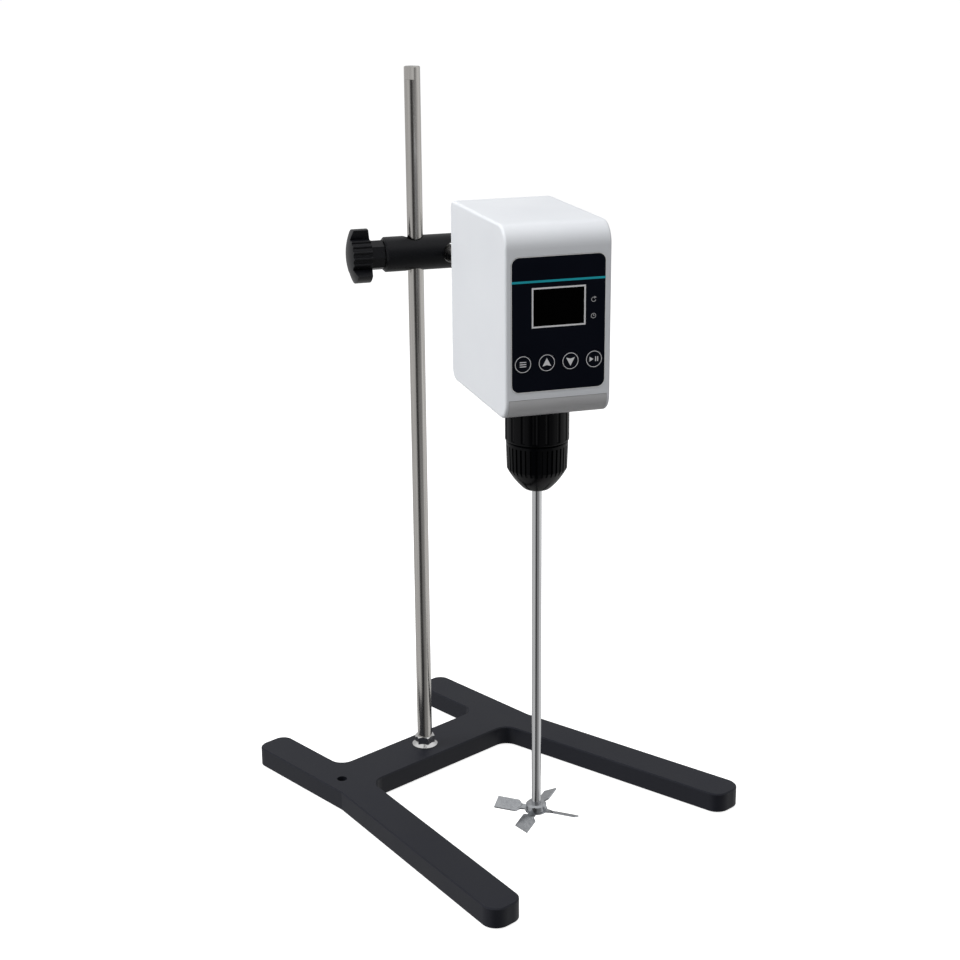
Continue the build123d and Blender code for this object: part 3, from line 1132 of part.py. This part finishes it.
def impeller_blades():
    """Sheet spider: a disc, and four flat blades pitched on short twisted necks."""
    disc = tube(IMPELLER_DISC_DIAMETER, SHAFT_DIAMETER + 2 * RUN_FIT, DISC_LOW, DISC_LOW + BLADE_THICKNESS)
    middle_z = DISC_LOW + BLADE_THICKNESS / 2
    inner = IMPELLER_DIAMETER / 2 - BLADE_LENGTH
    sheet = Rectangle(BLADE_LENGTH, BLADE_CHORD)
    near = [v for v in sheet.vertices() if v.X < 0]
    sheet = chamfer(near, BLADE_CORNER)
    blade = extrude(sheet, BLADE_THICKNESS / 2, both=True)
    blade = Pos(inner + BLADE_LENGTH / 2, 0, 0) * Rot(-BLADE_PITCH, 0, 0) * blade
    root = (IMPELLER_DISC_DIAMETER / 2) * NECK_ROOT
    flat_end = Plane(origin=(root, 0, 0), x_dir=(0, 1, 0), z_dir=(1, 0, 0))
    pitched_end = Plane(origin=(inner + BLADE_CORNER, 0, 0), x_dir=(0, 1, 0), z_dir=(1, 0, 0))
    section = Rectangle(BLADE_NECK_WIDTH, NECK_THICKNESS)
    neck = loft([flat_end * section, pitched_end * Rot(0, 0, -BLADE_PITCH) * section])
    arm_and_blade = blade + neck
    for index in range(BLADES):
        turn = Rot(0, 0, BLADE_TURN + index * 360 / BLADES)
        disc += Pos(0, 0, middle_z) * turn * arm_and_blade
    return disc


def impeller_collar():
    """Collar above the blades, clamped to the shaft by a set screw."""
    low = DISC_LOW + BLADE_THICKNESS
    collar = chamfer(pin(COLLAR_DIAMETER, low, low + COLLAR_HEIGHT).edges().group_by(Axis.Z)[-1], COLLAR_BREAK)
    collar -= pin(SHAFT_DIAMETER + 2 * RUN_FIT, low - 1, low + COLLAR_HEIGHT + 1)
    return collar - collar_screw_place() * pin(COLLAR_SCREW_DIAMETER, 0, COLLAR_DIAMETER)


def collar_screw_place():
    """Axis of the collar's set screw, from the shaft outward."""
    middle = DISC_LOW + BLADE_THICKNESS + COLLAR_HEIGHT / 2
    return Pos(0, 0, middle) * Rot(0, 0, BLADE_TURN + COLLAR_SCREW_TURN) * Rot(0, 90, 0)


def collar_set_screw():
    low = SHAFT_R + SEAT_GAP
    screw = pin(COLLAR_SCREW_DIAMETER - 2 * RUN_FIT, low, COLLAR_DIAMETER / 2)
    return collar_screw_place() * screw


# ---------------------------------------------------------------- the pieces, each in its place
left_end = arm * Pos(CLAMP_X - CLAMP_LENGTH / 2, 0, 0) * Rot(0, -90, 0) * Rot(0, 0, KNOB_TURN)
right_end = arm * Pos(CLAMP_X + CLAMP_LENGTH / 2, 0, 0) * Rot(0, 90, 0) * Rot(0, 0, KNOB_TURN)
left_reach = CLAMP_LENGTH / 2 - CLAMP_X - ROD_R
right_reach = CLAMP_LENGTH / 2 + CLAMP_X - ARM_X - ARM_ROD_R
buttons = button_places()
turns = jaw_turns()

pieces = {
    "base_plate": stand * base_plate(),
    "rubber_feet": stand * rubber_feet(),
    "flange_nut": stand * flange_nut(),
    "stand_rod": stand * stand_rod(),
    "clamp_body": arm * clamp_body(),
    "rod_knob": left_end * knob(),
    "rod_knob_screw": left_end * knob_screw(left_reach),
    "rod_knob_pad": left_end * knob_pad(left_reach),
    "arm_knob": right_end * knob(),
    "arm_knob_screw": right_end * knob_screw(right_reach),
    "arm_knob_pad": right_end * knob_pad(right_reach),
    "support_rod": head * support_rod(),
    "housing_shell": head * housing_shell(),
    "bottom_cover": head * bottom_cover(),
    "housing_screws": head * housing_screws(),
    "motor_frame": head * motor_frame(),
    "rod_socket": head * rod_socket(),
    "socket_screws": head * socket_screws(),
    "socket_set_screw": head * socket_set_screw(),
    "front_panel": head * front_panel(),
    "display_window": head * display_window(),
    "display_module": head * display_module(),
    "menu_button": head * button(buttons[0]),
    "up_button": head * button(buttons[1]),
    "down_button": head * button(buttons[2]),
    "start_button": head * button(buttons[3]),
    "control_board": head * control_board(),
    "tact_switches": head * tact_switches(),
    "power_inlet": head * power_inlet(),
    "power_switch_body": head * power_switch_body(),
    "power_switch_rocker": head * power_switch_rocker(),
    "driver_board": head * driver_board(),
    "board_standoffs": head * board_standoffs(),
    "motor_can": drive * motor_can(),
    "motor_screws": drive * motor_screws(),
    "stator_core": drive * stator_core(),
    "bearing_housing": drive * bearing_housing(),
    "lower_bearing": drive * lower_bearing(),
    "upper_bearing": drive * upper_bearing(),
    "spindle": drive * spindle(),
    "rotor_magnet": drive * rotor_magnet(),
    "chuck_body": drive * chuck_body(),
    "chuck_rear_sleeve": drive * chuck_rear_sleeve(),
    "chuck_front_sleeve": drive * chuck_front_sleeve(),
    "chuck_nut": drive * chuck_nut(),
    "chuck_jaw_1": drive * chuck_jaw(turns[0]),
    "chuck_jaw_2": drive * chuck_jaw(turns[1]),
    "chuck_jaw_3": drive * chuck_jaw(turns[2]),
    "stirring_shaft": drive * stirring_shaft(),
    "impeller_blades": drive * impeller_blades(),
    "impeller_collar": drive * impeller_collar(),
    "collar_set_screw": drive * collar_set_screw(),
}

os.makedirs("parts", exist_ok=True)
for name, piece in pieces.items():
    export_step(piece, os.path.join("parts", name + ".step"))
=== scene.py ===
"""Looks of an overhead stirrer: finishes, panel printing, floor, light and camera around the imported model."""

import json
import math

import bpy
from mathutils import Matrix, Vector


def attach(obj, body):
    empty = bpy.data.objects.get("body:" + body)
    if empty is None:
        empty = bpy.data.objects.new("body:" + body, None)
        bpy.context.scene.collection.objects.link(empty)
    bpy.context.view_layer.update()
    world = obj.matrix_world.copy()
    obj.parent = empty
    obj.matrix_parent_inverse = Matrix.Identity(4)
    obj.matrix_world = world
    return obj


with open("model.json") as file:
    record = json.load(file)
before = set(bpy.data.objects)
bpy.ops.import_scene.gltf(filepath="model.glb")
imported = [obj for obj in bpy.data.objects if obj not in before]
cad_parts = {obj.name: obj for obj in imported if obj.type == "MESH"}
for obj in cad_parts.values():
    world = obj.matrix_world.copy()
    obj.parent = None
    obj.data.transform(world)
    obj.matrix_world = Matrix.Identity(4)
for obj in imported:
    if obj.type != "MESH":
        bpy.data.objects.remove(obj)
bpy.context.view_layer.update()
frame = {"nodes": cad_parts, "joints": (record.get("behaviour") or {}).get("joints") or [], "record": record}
MM = 0.001

# ---------------------------------------------------------------- places on the head, from the frame's joints
JOINTS = {joint["name"]: joint for joint in frame["joints"]}
FORWARD = Vector(JOINTS["head_roll"]["axis"]).normalized()
UP = Vector((0, 0, 1))
SIDE = UP.cross(FORWARD)
HEAD_ORIGIN = Vector(JOINTS["head_roll"]["pos_m"])


def farthest(node, direction):
    """How far a node's surface reaches from the head's origin in a direction, in metres."""
    mesh = frame["nodes"][node].data
    return max((vertex.co - HEAD_ORIGIN).dot(direction) for vertex in mesh.vertices)


def panel_span(direction):
    """Where the panel begins and ends in a direction, in millimetres from the head's origin."""
    return -farthest("front_panel", -direction) / MM, farthest("front_panel", direction) / MM


PANEL_FACE = farthest("front_panel", FORWARD)
BUTTON_FACE = farthest("up_button", FORWARD)
WINDOW_FACE = farthest("display_window", FORWARD)

# panel layout in millimetres, from the head's middle line and the axis of the support rod
STRIPE_WIDTH = 66.1
STRIPE_Z = 26.0
STRIPE_HEIGHT = 1.5
WINDOW_SIZE = (38.0, 27.1)
WINDOW_Z = 8.3
WINDOW_LINE = 1.1
BUTTON_RING = 12.0
BUTTON_RIM = 0.35
BUTTON_LINE = 0.42
BUTTON_Z = -29.3
BUTTON_PITCH = 16.8
SIGN_X = 24.6
SPEED_SIGN_Z = 11.5
TIME_SIGN_Z = 0.4
SIGN_LINE = 0.4
ARROW_RADIUS = 1.7
ARROW_START = 60        # degrees
ARROW_SWEEP = 290       # degrees
ARROW_HEAD = ((0.6, 2.3), (2.0, 1.3), (0.4, 0.5))
CLOCK_RADIUS = 1.8
CLOCK_HAND = 0.35
CLOCK_STEPS = 32
PRINT_THICKNESS = 0.05
PANEL_CORNER = 5.6
EDGE_WIDTH = 0.45       # of the light edge round the panel


# ---------------------------------------------------------------- material building blocks
PATCH_SCALE = 18.0      # of the slow change in tone and gloss, per metre
PATCH_DETAIL = 4.0
GRAIN_DETAIL = 2.0
MARK_ROUGHNESS = 0.65
MARK_STRENGTH = 0.25
NOISE_LOW = 0.3         # the part of the noise's range that carries the change
NOISE_HIGH = 0.7


def new_material(name):
    material = bpy.data.materials.new(name)
    material.use_nodes = True
    return material, material.node_tree.nodes, material.node_tree.links


def principled(nodes):
    return next(node for node in nodes if node.type == "BSDF_PRINCIPLED")


def noise(nodes, links, scale, detail, stretch=None, turn=(0, 0, 0), roughness=0.5):
    """Noise in the object's own coordinates, in metres, turned and stretched along one axis for grain."""
    place = nodes.new("ShaderNodeTexCoord")
    texture = nodes.new("ShaderNodeTexNoise")
    texture.inputs["Scale"].default_value = scale
    texture.inputs["Detail"].default_value = detail
    texture.inputs["Roughness"].default_value = roughness
    if stretch is None:
        links.new(place.outputs["Object"], texture.inputs["Vector"])
        return texture
    rotate = nodes.new("ShaderNodeMapping")
    rotate.vector_type = "POINT"
    rotate.inputs["Rotation"].default_value = turn
    squeeze = nodes.new("ShaderNodeMapping")
    squeeze.inputs["Scale"].default_value = stretch
    links.new(place.outputs["Object"], rotate.inputs["Vector"])
    links.new(rotate.outputs["Vector"], squeeze.inputs["Vector"])
    links.new(squeeze.outputs["Vector"], texture.inputs["Vector"])
    return texture


def spread(nodes, links, texture, low, high):
    """Maps a texture's factor to a range of values."""
    node = nodes.new("ShaderNodeMapRange")
    node.inputs["From Min"].default_value = NOISE_LOW
    node.inputs["From Max"].default_value = NOISE_HIGH
    node.inputs["To Min"].default_value = low
    node.inputs["To Max"].default_value = high
    links.new(texture.outputs["Fac"], node.inputs["Value"])
    return node.outputs["Result"]


def tint(nodes, links, texture, dark, light):
    """Maps a texture's factor to a colour between two tones."""
    ramp = nodes.new("ShaderNodeValToRGB")
    ramp.color_ramp.elements[0].position = NOISE_LOW
    ramp.color_ramp.elements[1].position = NOISE_HIGH
    ramp.color_ramp.elements[0].color = (*dark, 1)
    ramp.color_ramp.elements[1].color = (*light, 1)
    links.new(texture.outputs["Fac"], ramp.inputs["Fac"])
    return ramp.outputs["Color"]


def bump(nodes, links, texture, distance, strength=0.5):
    node = nodes.new("ShaderNodeBump")
    node.inputs["Strength"].default_value = strength
    node.inputs["Distance"].default_value = distance
    links.new(texture.outputs["Fac"], node.inputs["Height"])
    return node.outputs["Normal"]


def coated(name, dark, light, rough, grain, depth, metallic=0.0, specular=0.5):
    """Paint, plastic, rubber or plain metal: two close tones, uneven gloss and a fine grain."""
    material, nodes, links = new_material(name)
    shader = principled(nodes)
    shader.inputs["Metallic"].default_value = metallic
    shader.inputs["Specular IOR Level"].default_value = specular
    patches = noise(nodes, links, PATCH_SCALE, PATCH_DETAIL)
    links.new(tint(nodes, links, patches, dark, light), shader.inputs["Base Color"])
    links.new(spread(nodes, links, patches, *rough), shader.inputs["Roughness"])
    fine = noise(nodes, links, grain, GRAIN_DETAIL)
    links.new(bump(nodes, links, fine, depth), shader.inputs["Normal"])
    return material


def ground_steel(name, dark, light, rough, stretch, turn=(0, 0, 0), depth=2e-5):
    """Steel with long fine grinding marks along one direction."""
    material, nodes, links = new_material(name)
    shader = principled(nodes)
    shader.inputs["Metallic"].default_value = 1.0
    marks = noise(nodes, links, 1.0, PATCH_DETAIL, stretch, turn, MARK_ROUGHNESS)
    links.new(tint(nodes, links, marks, dark, light), shader.inputs["Base Color"])
    links.new(spread(nodes, links, marks, *rough), shader.inputs["Roughness"])
    links.new(bump(nodes, links, marks, depth, MARK_STRENGTH), shader.inputs["Normal"])
    return material


def grey(value, blue=0.0):
    return (value, value, value + blue)


HEAD_YAW = math.atan2(SIDE.y, SIDE.x)
STEEL_DARK = (0.46, 0.445, 0.425)
STEEL_LIGHT = (0.66, 0.64, 0.615)
FILM_DARK = (0.0022, 0.0032, 0.0072)
FILM_LIGHT = (0.0034, 0.0044, 0.0092)
LOOKS = {
    "charcoal_coat": coated(
        "charcoal_coat", (0.0105, 0.0115, 0.0165), (0.0135, 0.0145, 0.0205), (0.40, 0.50), 2600, 4e-5,
        specular=0.2,
    ),
    "rubber": coated("rubber", grey(0.010), grey(0.016), (0.75, 0.9), 1500, 5e-5, specular=0.3),
    "bright_plate": coated("bright_plate", grey(0.66), grey(0.74), (0.08, 0.16), 900, 1e-5, 1.0),
    "upright_steel": ground_steel(
        "upright_steel", STEEL_DARK, STEEL_LIGHT, (0.16, 0.26), (900, 900, 9)
    ),
    "arm_steel": ground_steel(
        "arm_steel", STEEL_DARK, STEEL_LIGHT, (0.16, 0.26), (900, 9, 900), (0, 0, -HEAD_YAW)
    ),
    "shaft_steel": ground_steel(
        "shaft_steel", (0.56, 0.565, 0.575), (0.72, 0.725, 0.735), (0.10, 0.18), (900, 900, 12)
    ),
    "polished_steel": ground_steel(
        "polished_steel", (0.34, 0.355, 0.375), (0.50, 0.515, 0.535), (0.14, 0.26), (300, 300, 300),
        depth=1e-5,
    ),
    "screw_steel": coated("screw_steel", grey(0.28), grey(0.36), (0.28, 0.4), 1400, 2e-5, 1.0),
    "brass": coated("brass", (0.50, 0.36, 0.13), (0.62, 0.47, 0.2), (0.25, 0.35), 1200, 2e-5, 1.0),
    "black_plastic": coated(
        "black_plastic", (0.0032, 0.0034, 0.0046), (0.005, 0.0053, 0.007), (0.28, 0.38), 1800, 2e-5,
        specular=0.22,
    ),
    "gloss_black": coated(
        "gloss_black", (0.0012, 0.0013, 0.002), (0.0022, 0.0023, 0.0032), (0.15, 0.22), 900, 1e-5,
        specular=0.1,
    ),
    # painted shade: a darker grey copy of the white housing's plastic, standing in for the shade on the
    # downward-facing lip of the bottom cover
    "shaded_cover_plastic": coated(
        "shaded_cover_plastic", (0.50, 0.50, 0.51), (0.54, 0.54, 0.55), (0.36, 0.44), 1600, 2.5e-5, specular=0.35
    ),
    "panel_edge": coated("panel_edge", grey(0.80), grey(0.88), (0.3, 0.4), 2500, 1e-5),
    "white_housing": coated(
        "white_housing", (0.72, 0.74, 0.775), (0.75, 0.77, 0.80), (0.36, 0.44), 1600, 2.5e-5, specular=0.35
    ),
    "sheet_steel": ground_steel(
        "sheet_steel", grey(0.38), grey(0.48), (0.3, 0.42), (250, 250, 250)
    ),
    "aluminium": coated("aluminium", grey(0.55), grey(0.64), (0.3, 0.42), 1400, 2e-5, 1.0),
    "panel_film": coated("panel_film", FILM_DARK, FILM_LIGHT, (0.34, 0.42), 2200, 1e-5, specular=0.05),
    "display_glass": coated(
        "display_glass", grey(0.0003), grey(0.0006), (0.10, 0.14), 300, 2e-6, specular=0.01
    ),
    "button_plastic": coated(
        "button_plastic", FILM_DARK, FILM_LIGHT, (0.36, 0.44), 2200, 1e-5, specular=0.05
    ),
    "board_green": coated("board_green", (0.01, 0.10, 0.03), (0.015, 0.15, 0.05), (0.35, 0.5), 700, 2e-5),
    "magnet": coated("magnet", grey(0.05), grey(0.07), (0.5, 0.65), 900, 3e-5, 0.4),
    "print_white": coated("print_white", grey(0.72, 0.02), grey(0.82, 0.02), (0.45, 0.55), 2500, 1e-5),
    "print_soft": coated("print_soft", grey(0.42, 0.01), grey(0.50, 0.01), (0.45, 0.55), 2500, 1e-5),
    "print_teal": coated("print_teal", (0.0, 0.34, 0.42), (0.005, 0.42, 0.50), (0.4, 0.5), 2500, 1e-5),
}
# the bottom cover gets the darker copy of the housing plastic, which is painted shade on its downward-facing
# lip
SPECIAL = {"stand_rod": "upright_steel", "support_rod": "arm_steel", "spindle": "shaft_steel",
           "stirring_shaft": "shaft_steel", "bottom_cover": "shaded_cover_plastic"}


def dress_cad():
    """Gives each node of the model its finish, by its material slot in the record."""
    slots = {row["node"]: row["material_slot"] for row in frame["record"]["subparts"]}
    for node, piece in frame["nodes"].items():
        look = LOOKS[SPECIAL.get(node, slots[node])]
        for slot in piece.material_slots:
            slot.material = look
        if not piece.material_slots:
            piece.data.materials.append(look)


# ---------------------------------------------------------------- printing on the panel
def on_head(x, z, reach):
    """Point on the head: x to the side and z up in millimetres, reach forward in metres."""
    return HEAD_ORIGIN + SIDE * (x * MM) + UP * (z * MM) + FORWARD * reach


def flat_piece(name, loops, face, body, look):
    """Thin printed shape on a face: each loop is an outline, or a pair of outlines for a closed band."""
    points, faces = [], []
    for loop in loops:
        band = isinstance(loop[0][0], (tuple, list))
        outlines = loop if band else [loop]
        start = len(points)
        count = len(outlines[0])
        for outline in outlines:
            for depth in (0.0, PRINT_THICKNESS * MM):
                points += [on_head(x, z, face + depth) for x, z in outline]
        ring = lambda layer, index: start + layer * count + index % count
        if band:
            # layers: outer back, outer front, inner back, inner front
            for k in range(count):
                faces.append((ring(1, k), ring(1, k + 1), ring(3, k + 1), ring(3, k)))
                faces.append((ring(0, k + 1), ring(0, k), ring(2, k), ring(2, k + 1)))
                faces.append((ring(0, k), ring(0, k + 1), ring(1, k + 1), ring(1, k)))
                faces.append((ring(2, k + 1), ring(2, k), ring(3, k), ring(3, k + 1)))
        else:
            faces.append(tuple(ring(1, k) for k in range(count)))
            faces.append(tuple(ring(0, k) for k in reversed(range(count))))
            for k in range(count):
                faces.append((ring(0, k), ring(0, k + 1), ring(1, k + 1), ring(1, k)))
    mesh = bpy.data.meshes.new(name)
    mesh.from_pydata(points, [], faces)
    mesh.validate()
    piece = bpy.data.objects.new(name, mesh)
    bpy.context.collection.objects.link(piece)
    mesh.materials.append(LOOKS[look])
    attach(piece, body)


def box_outline(x, z, width, height):
    return [(x - width / 2, z - height / 2), (x + width / 2, z - height / 2),
            (x + width / 2, z + height / 2), (x - width / 2, z + height / 2)]


def circle(x, z, radius, count=48, start=0.0, sweep=360.0):
    """Points on a circle, or on an arc of it with both its ends."""
    steps = count if sweep == 360.0 else count + 1
    return [
        (x + radius * math.cos(math.radians(start + sweep * k / count)),
         z + radius * math.sin(math.radians(start + sweep * k / count))) for k in range(steps)
    ]


def circle_band(x, z, radius, width, count=48):
    """Outer and inner outline of a ring."""
    return [circle(x, z, radius, count), circle(x, z, radius - width, count)]


def arc_band(x, z, radius, width, start, sweep, count=20):
    """One outline round a part of a ring."""
    outer = circle(x, z, radius, count, start, sweep)
    inner = circle(x, z, radius - width, count, start, sweep)
    return outer + inner[::-1]


def rounded_outline(width, height, radius, z, steps=8):
    """Rectangle with round corners, centred on the head's middle line."""
    corners = ((1, -1, -90), (1, 1, 0), (-1, 1, 90), (-1, -1, 180))
    points = []
    for right, up, start in corners:
        middle_x, middle_z = right * (width / 2 - radius), z + up * (height / 2 - radius)
        points += circle(middle_x, middle_z, radius, steps, start, 90.0)
    return points


def print_panel():
    low, high = panel_span(UP)
    left, right = panel_span(SIDE)
    wide, tall, middle = right - left, high - low, (high + low) / 2
    inset = 2 * EDGE_WIDTH
    flat_piece(
        "panel_edge",
        [[rounded_outline(wide, tall, PANEL_CORNER, middle),
          rounded_outline(wide - inset, tall - inset, PANEL_CORNER - EDGE_WIDTH, middle)]],
        PANEL_FACE, "head", "panel_edge",
    )
    flat_piece(
        "panel_stripe", [box_outline(0, STRIPE_Z, STRIPE_WIDTH, STRIPE_HEIGHT)], PANEL_FACE, "head",
        "print_teal",
    )
    wide, high = WINDOW_SIZE
    inset = 2 * WINDOW_LINE
    flat_piece(
        "display_border",
        [[box_outline(0, WINDOW_Z, wide, high), box_outline(0, WINDOW_Z, wide - inset, high - inset)]],
        max(PANEL_FACE, WINDOW_FACE), "head", "print_white",
    )
    # speed: an open circular arrow; time: a small clock
    speed = [
        arc_band(SIGN_X, SPEED_SIGN_Z, ARROW_RADIUS, SIGN_LINE, ARROW_START, ARROW_SWEEP),
        [(SIGN_X + x, SPEED_SIGN_Z + z) for x, z in ARROW_HEAD],
    ]
    flat_piece("speed_sign", speed, PANEL_FACE, "head", "print_soft")
    clock = [
        circle_band(SIGN_X, TIME_SIGN_Z, CLOCK_RADIUS, SIGN_LINE, CLOCK_STEPS),
        box_outline(SIGN_X, TIME_SIGN_Z + 0.5, CLOCK_HAND, 1.2),
        box_outline(SIGN_X + 0.42, TIME_SIGN_Z, 0.9, CLOCK_HAND),
    ]
    flat_piece("time_sign", clock, PANEL_FACE, "head", "print_soft")


def print_buttons():
    names = ("menu_button", "up_button", "down_button", "start_button")
    for index, name in enumerate(names):
        x = (index - (len(names) - 1) / 2) * BUTTON_PITCH
        ring = circle_band(x, BUTTON_Z, BUTTON_RING / 2 - BUTTON_RIM, BUTTON_LINE)
        flat_piece(name + "_ring", [ring], BUTTON_FACE, name, "print_white")
        flat_piece(name + "_sign", button_sign(name, x), BUTTON_FACE, name, "print_white")


def button_sign(name, x):
    """Plain signs: bars for the menu, triangles for up and down, play and pause for start and stop."""
    z = BUTTON_Z
    if name == "menu_button":
        return [box_outline(x, z + step, 4.6, 0.6) for step in (1.5, 0, -1.5)]
    if name == "up_button":
        return [[(x - 3.1, z - 2.4), (x, z - 1.6), (x + 3.1, z - 2.4), (x, z + 3.4)]]
    if name == "down_button":
        return [[(x - 3.1, z + 2.4), (x, z - 3.4), (x + 3.1, z + 2.4), (x, z + 1.6)]]
    return [
        [(x - 3.2, z - 1.7), (x - 0.4, z), (x - 3.2, z + 1.7)],
        box_outline(x + 1.2, z, 0.65, 3.3), box_outline(x + 2.7, z, 0.65, 3.3),
    ]


# ---------------------------------------------------------------- floor, light and camera
CAMERA_PLACE = (-0.89224, -0.9554, 0.7013)
CAMERA_AZIMUTH = -42.737
CAMERA_DROP = 17.80     # degrees below level
CAMERA_ROLL = -0.476
CAMERA_FOCUS = 1717.76  # in pixels of the image
IMAGE_SIZE = 960
SENSOR = 36.0

FLOOR_REACH = 60.0
FLOOR_BOUNCE = 0.32     # what the floor gives back to the object
FLOOR_SEEN = 0.65       # the floor as the camera sees it, and the light added to that
FLOOR_LIFT = 0.83
WORLD_EVEN = 0.28       # light from all round on matt surfaces
# bearing in degrees and brightness of the room's walls as gloss sees them
ROOM_WALLS = (
    (-169, 0.55), (-158, 0.06), (-134, 0.05), (-122, 0.24), (-80, 0.32), (-66, 0.72), (-8, 0.78), (16, 0.50),
    (60, 0.50), (120, 0.60), (168, 0.64),
)
ROOM_BEHIND = 0.62      # at half a turn, where the bearings meet
CEILING_FROM = 0.40     # rise at which the walls begin to pass into the ceiling
CEILING_TO = 0.80
CEILING_VALUE = 0.85
# name, place, target, size in metres and power in watts of each lamp
LIGHTS = (
    ("key", (-1.7, 1.2, 1.3), (-0.05, -0.05, 0.35), (1.3, 1.3), 37),
    ("top", (-0.42, -0.5, 2.1), (0, 0, 0.3), (1.8, 1.8), 26),
)


def build_camera():
    data = bpy.data.cameras.new("camera")
    data.sensor_width = SENSOR
    data.lens = CAMERA_FOCUS / IMAGE_SIZE * SENSOR
    data.clip_start = 0.05
    data.clip_end = 200
    camera = bpy.data.objects.new("camera", data)
    turn = (
        Matrix.Rotation(math.radians(CAMERA_AZIMUTH), 4, "Z")
        @ Matrix.Rotation(math.radians(90 - CAMERA_DROP), 4, "X")
        @ Matrix.Rotation(math.radians(CAMERA_ROLL), 4, "Z")
    )
    camera.matrix_world = Matrix.Translation(CAMERA_PLACE) @ turn
    bpy.context.collection.objects.link(camera)
    bpy.context.scene.camera = camera


def area_light(name, place, target, size, power):
    """Lamp that lights matt surfaces; what gloss mirrors is the room in the world."""
    data = bpy.data.lights.new(name, "AREA")
    data.shape = "RECTANGLE"
    data.size, data.size_y = size
    data.energy = power
    light = bpy.data.objects.new(name, data)
    light.location = place
    aim = Vector(target) - Vector(place)
    light.rotation_euler = aim.to_track_quat("-Z", "Y").to_euler()
    light.visible_glossy = False
    bpy.context.collection.objects.link(light)


def build_floor():
    """White floor: the camera sees it brighter than the light that it gives back to the object."""
    mesh = bpy.data.meshes.new("floor")
    reach = FLOOR_REACH
    mesh.from_pydata(
        [(-reach, -reach, 0), (reach, -reach, 0), (reach, reach, 0), (-reach, reach, 0)], [], [(0, 1, 2, 3)]
    )
    floor = bpy.data.objects.new("floor", mesh)
    floor.visible_glossy = False
    bpy.context.collection.objects.link(floor)
    material, nodes, links = new_material("floor")
    nodes.remove(principled(nodes))
    path = nodes.new("ShaderNodeLightPath")
    bounce = nodes.new("ShaderNodeBsdfDiffuse")
    bounce.inputs["Color"].default_value = (*grey(FLOOR_BOUNCE), 1)
    seen = nodes.new("ShaderNodeBsdfDiffuse")
    seen.inputs["Color"].default_value = (*grey(FLOOR_SEEN), 1)
    lift = nodes.new("ShaderNodeEmission")
    lift.inputs["Strength"].default_value = FLOOR_LIFT
    bright = nodes.new("ShaderNodeAddShader")
    links.new(seen.outputs[0], bright.inputs[0])
    links.new(lift.outputs[0], bright.inputs[1])
    pick = nodes.new("ShaderNodeMixShader")
    links.new(path.outputs["Is Camera Ray"], pick.inputs["Fac"])
    links.new(bounce.outputs[0], pick.inputs[1])
    links.new(bright.outputs[0], pick.inputs[2])
    links.new(pick.outputs[0], nodes["Material Output"].inputs["Surface"])
    mesh.materials.append(material)


def build_world():
    """White to the eye, even to matt surfaces, and for gloss a room of pale walls and dark flags."""
    world = bpy.data.worlds.new("studio")
    bpy.context.scene.world = world
    world.use_nodes = True
    nodes, links = world.node_tree.nodes, world.node_tree.links
    even = nodes["Background"]
    even.inputs["Color"].default_value = (1, 1, 1, 1)
    even.inputs["Strength"].default_value = WORLD_EVEN
    place = nodes.new("ShaderNodeTexCoord")
    parts = nodes.new("ShaderNodeSeparateXYZ")
    links.new(place.outputs["Generated"], parts.inputs["Vector"])
    bearing = nodes.new("ShaderNodeMath")
    bearing.operation = "ARCTAN2"
    links.new(parts.outputs["Y"], bearing.inputs[0])
    links.new(parts.outputs["X"], bearing.inputs[1])
    share = nodes.new("ShaderNodeMapRange")
    share.inputs["From Min"].default_value = -math.pi
    share.inputs["From Max"].default_value = math.pi
    links.new(bearing.outputs[0], share.inputs["Value"])
    walls = nodes.new("ShaderNodeValToRGB")
    stops = walls.color_ramp.elements
    stops[0].color = stops[1].color = (*grey(ROOM_BEHIND), 1)
    for degrees, value in ROOM_WALLS:
        stop = stops.new((degrees + 180.0) / 360.0)
        stop.color = (*grey(value), 1)
    links.new(share.outputs["Result"], walls.inputs["Fac"])
    height = nodes.new("ShaderNodeMapRange")
    height.inputs["From Min"].default_value = CEILING_FROM
    height.inputs["From Max"].default_value = CEILING_TO
    links.new(parts.outputs["Z"], height.inputs["Value"])
    room_colour = nodes.new("ShaderNodeMix")
    room_colour.data_type = "RGBA"
    room_colour.inputs["B"].default_value = (*grey(CEILING_VALUE), 1)
    links.new(height.outputs["Result"], room_colour.inputs["Factor"])
    links.new(walls.outputs["Color"], room_colour.inputs["A"])
    room = nodes.new("ShaderNodeBackground")
    links.new(room_colour.outputs["Result"], room.inputs["Color"])
    eye = nodes.new("ShaderNodeBackground")
    eye.inputs["Color"].default_value = (1, 1, 1, 1)
    path = nodes.new("ShaderNodeLightPath")
    gloss = nodes.new("ShaderNodeMixShader")
    links.new(path.outputs["Is Glossy Ray"], gloss.inputs["Fac"])
    links.new(even.outputs[0], gloss.inputs[1])
    links.new(room.outputs[0], gloss.inputs[2])
    pick = nodes.new("ShaderNodeMixShader")
    links.new(path.outputs["Is Camera Ray"], pick.inputs["Fac"])
    links.new(gloss.outputs[0], pick.inputs[1])
    links.new(eye.outputs[0], pick.inputs[2])
    links.new(pick.outputs[0], nodes["World Output"].inputs["Surface"])


def build_light():
    for name, place, target, size, power in LIGHTS:
        area_light(name, place, target, size, power)


bpy.context.scene.view_settings.view_transform = "Standard"
dress_cad()
print_panel()
print_buttons()
build_camera()
build_floor()
build_world()
build_light()
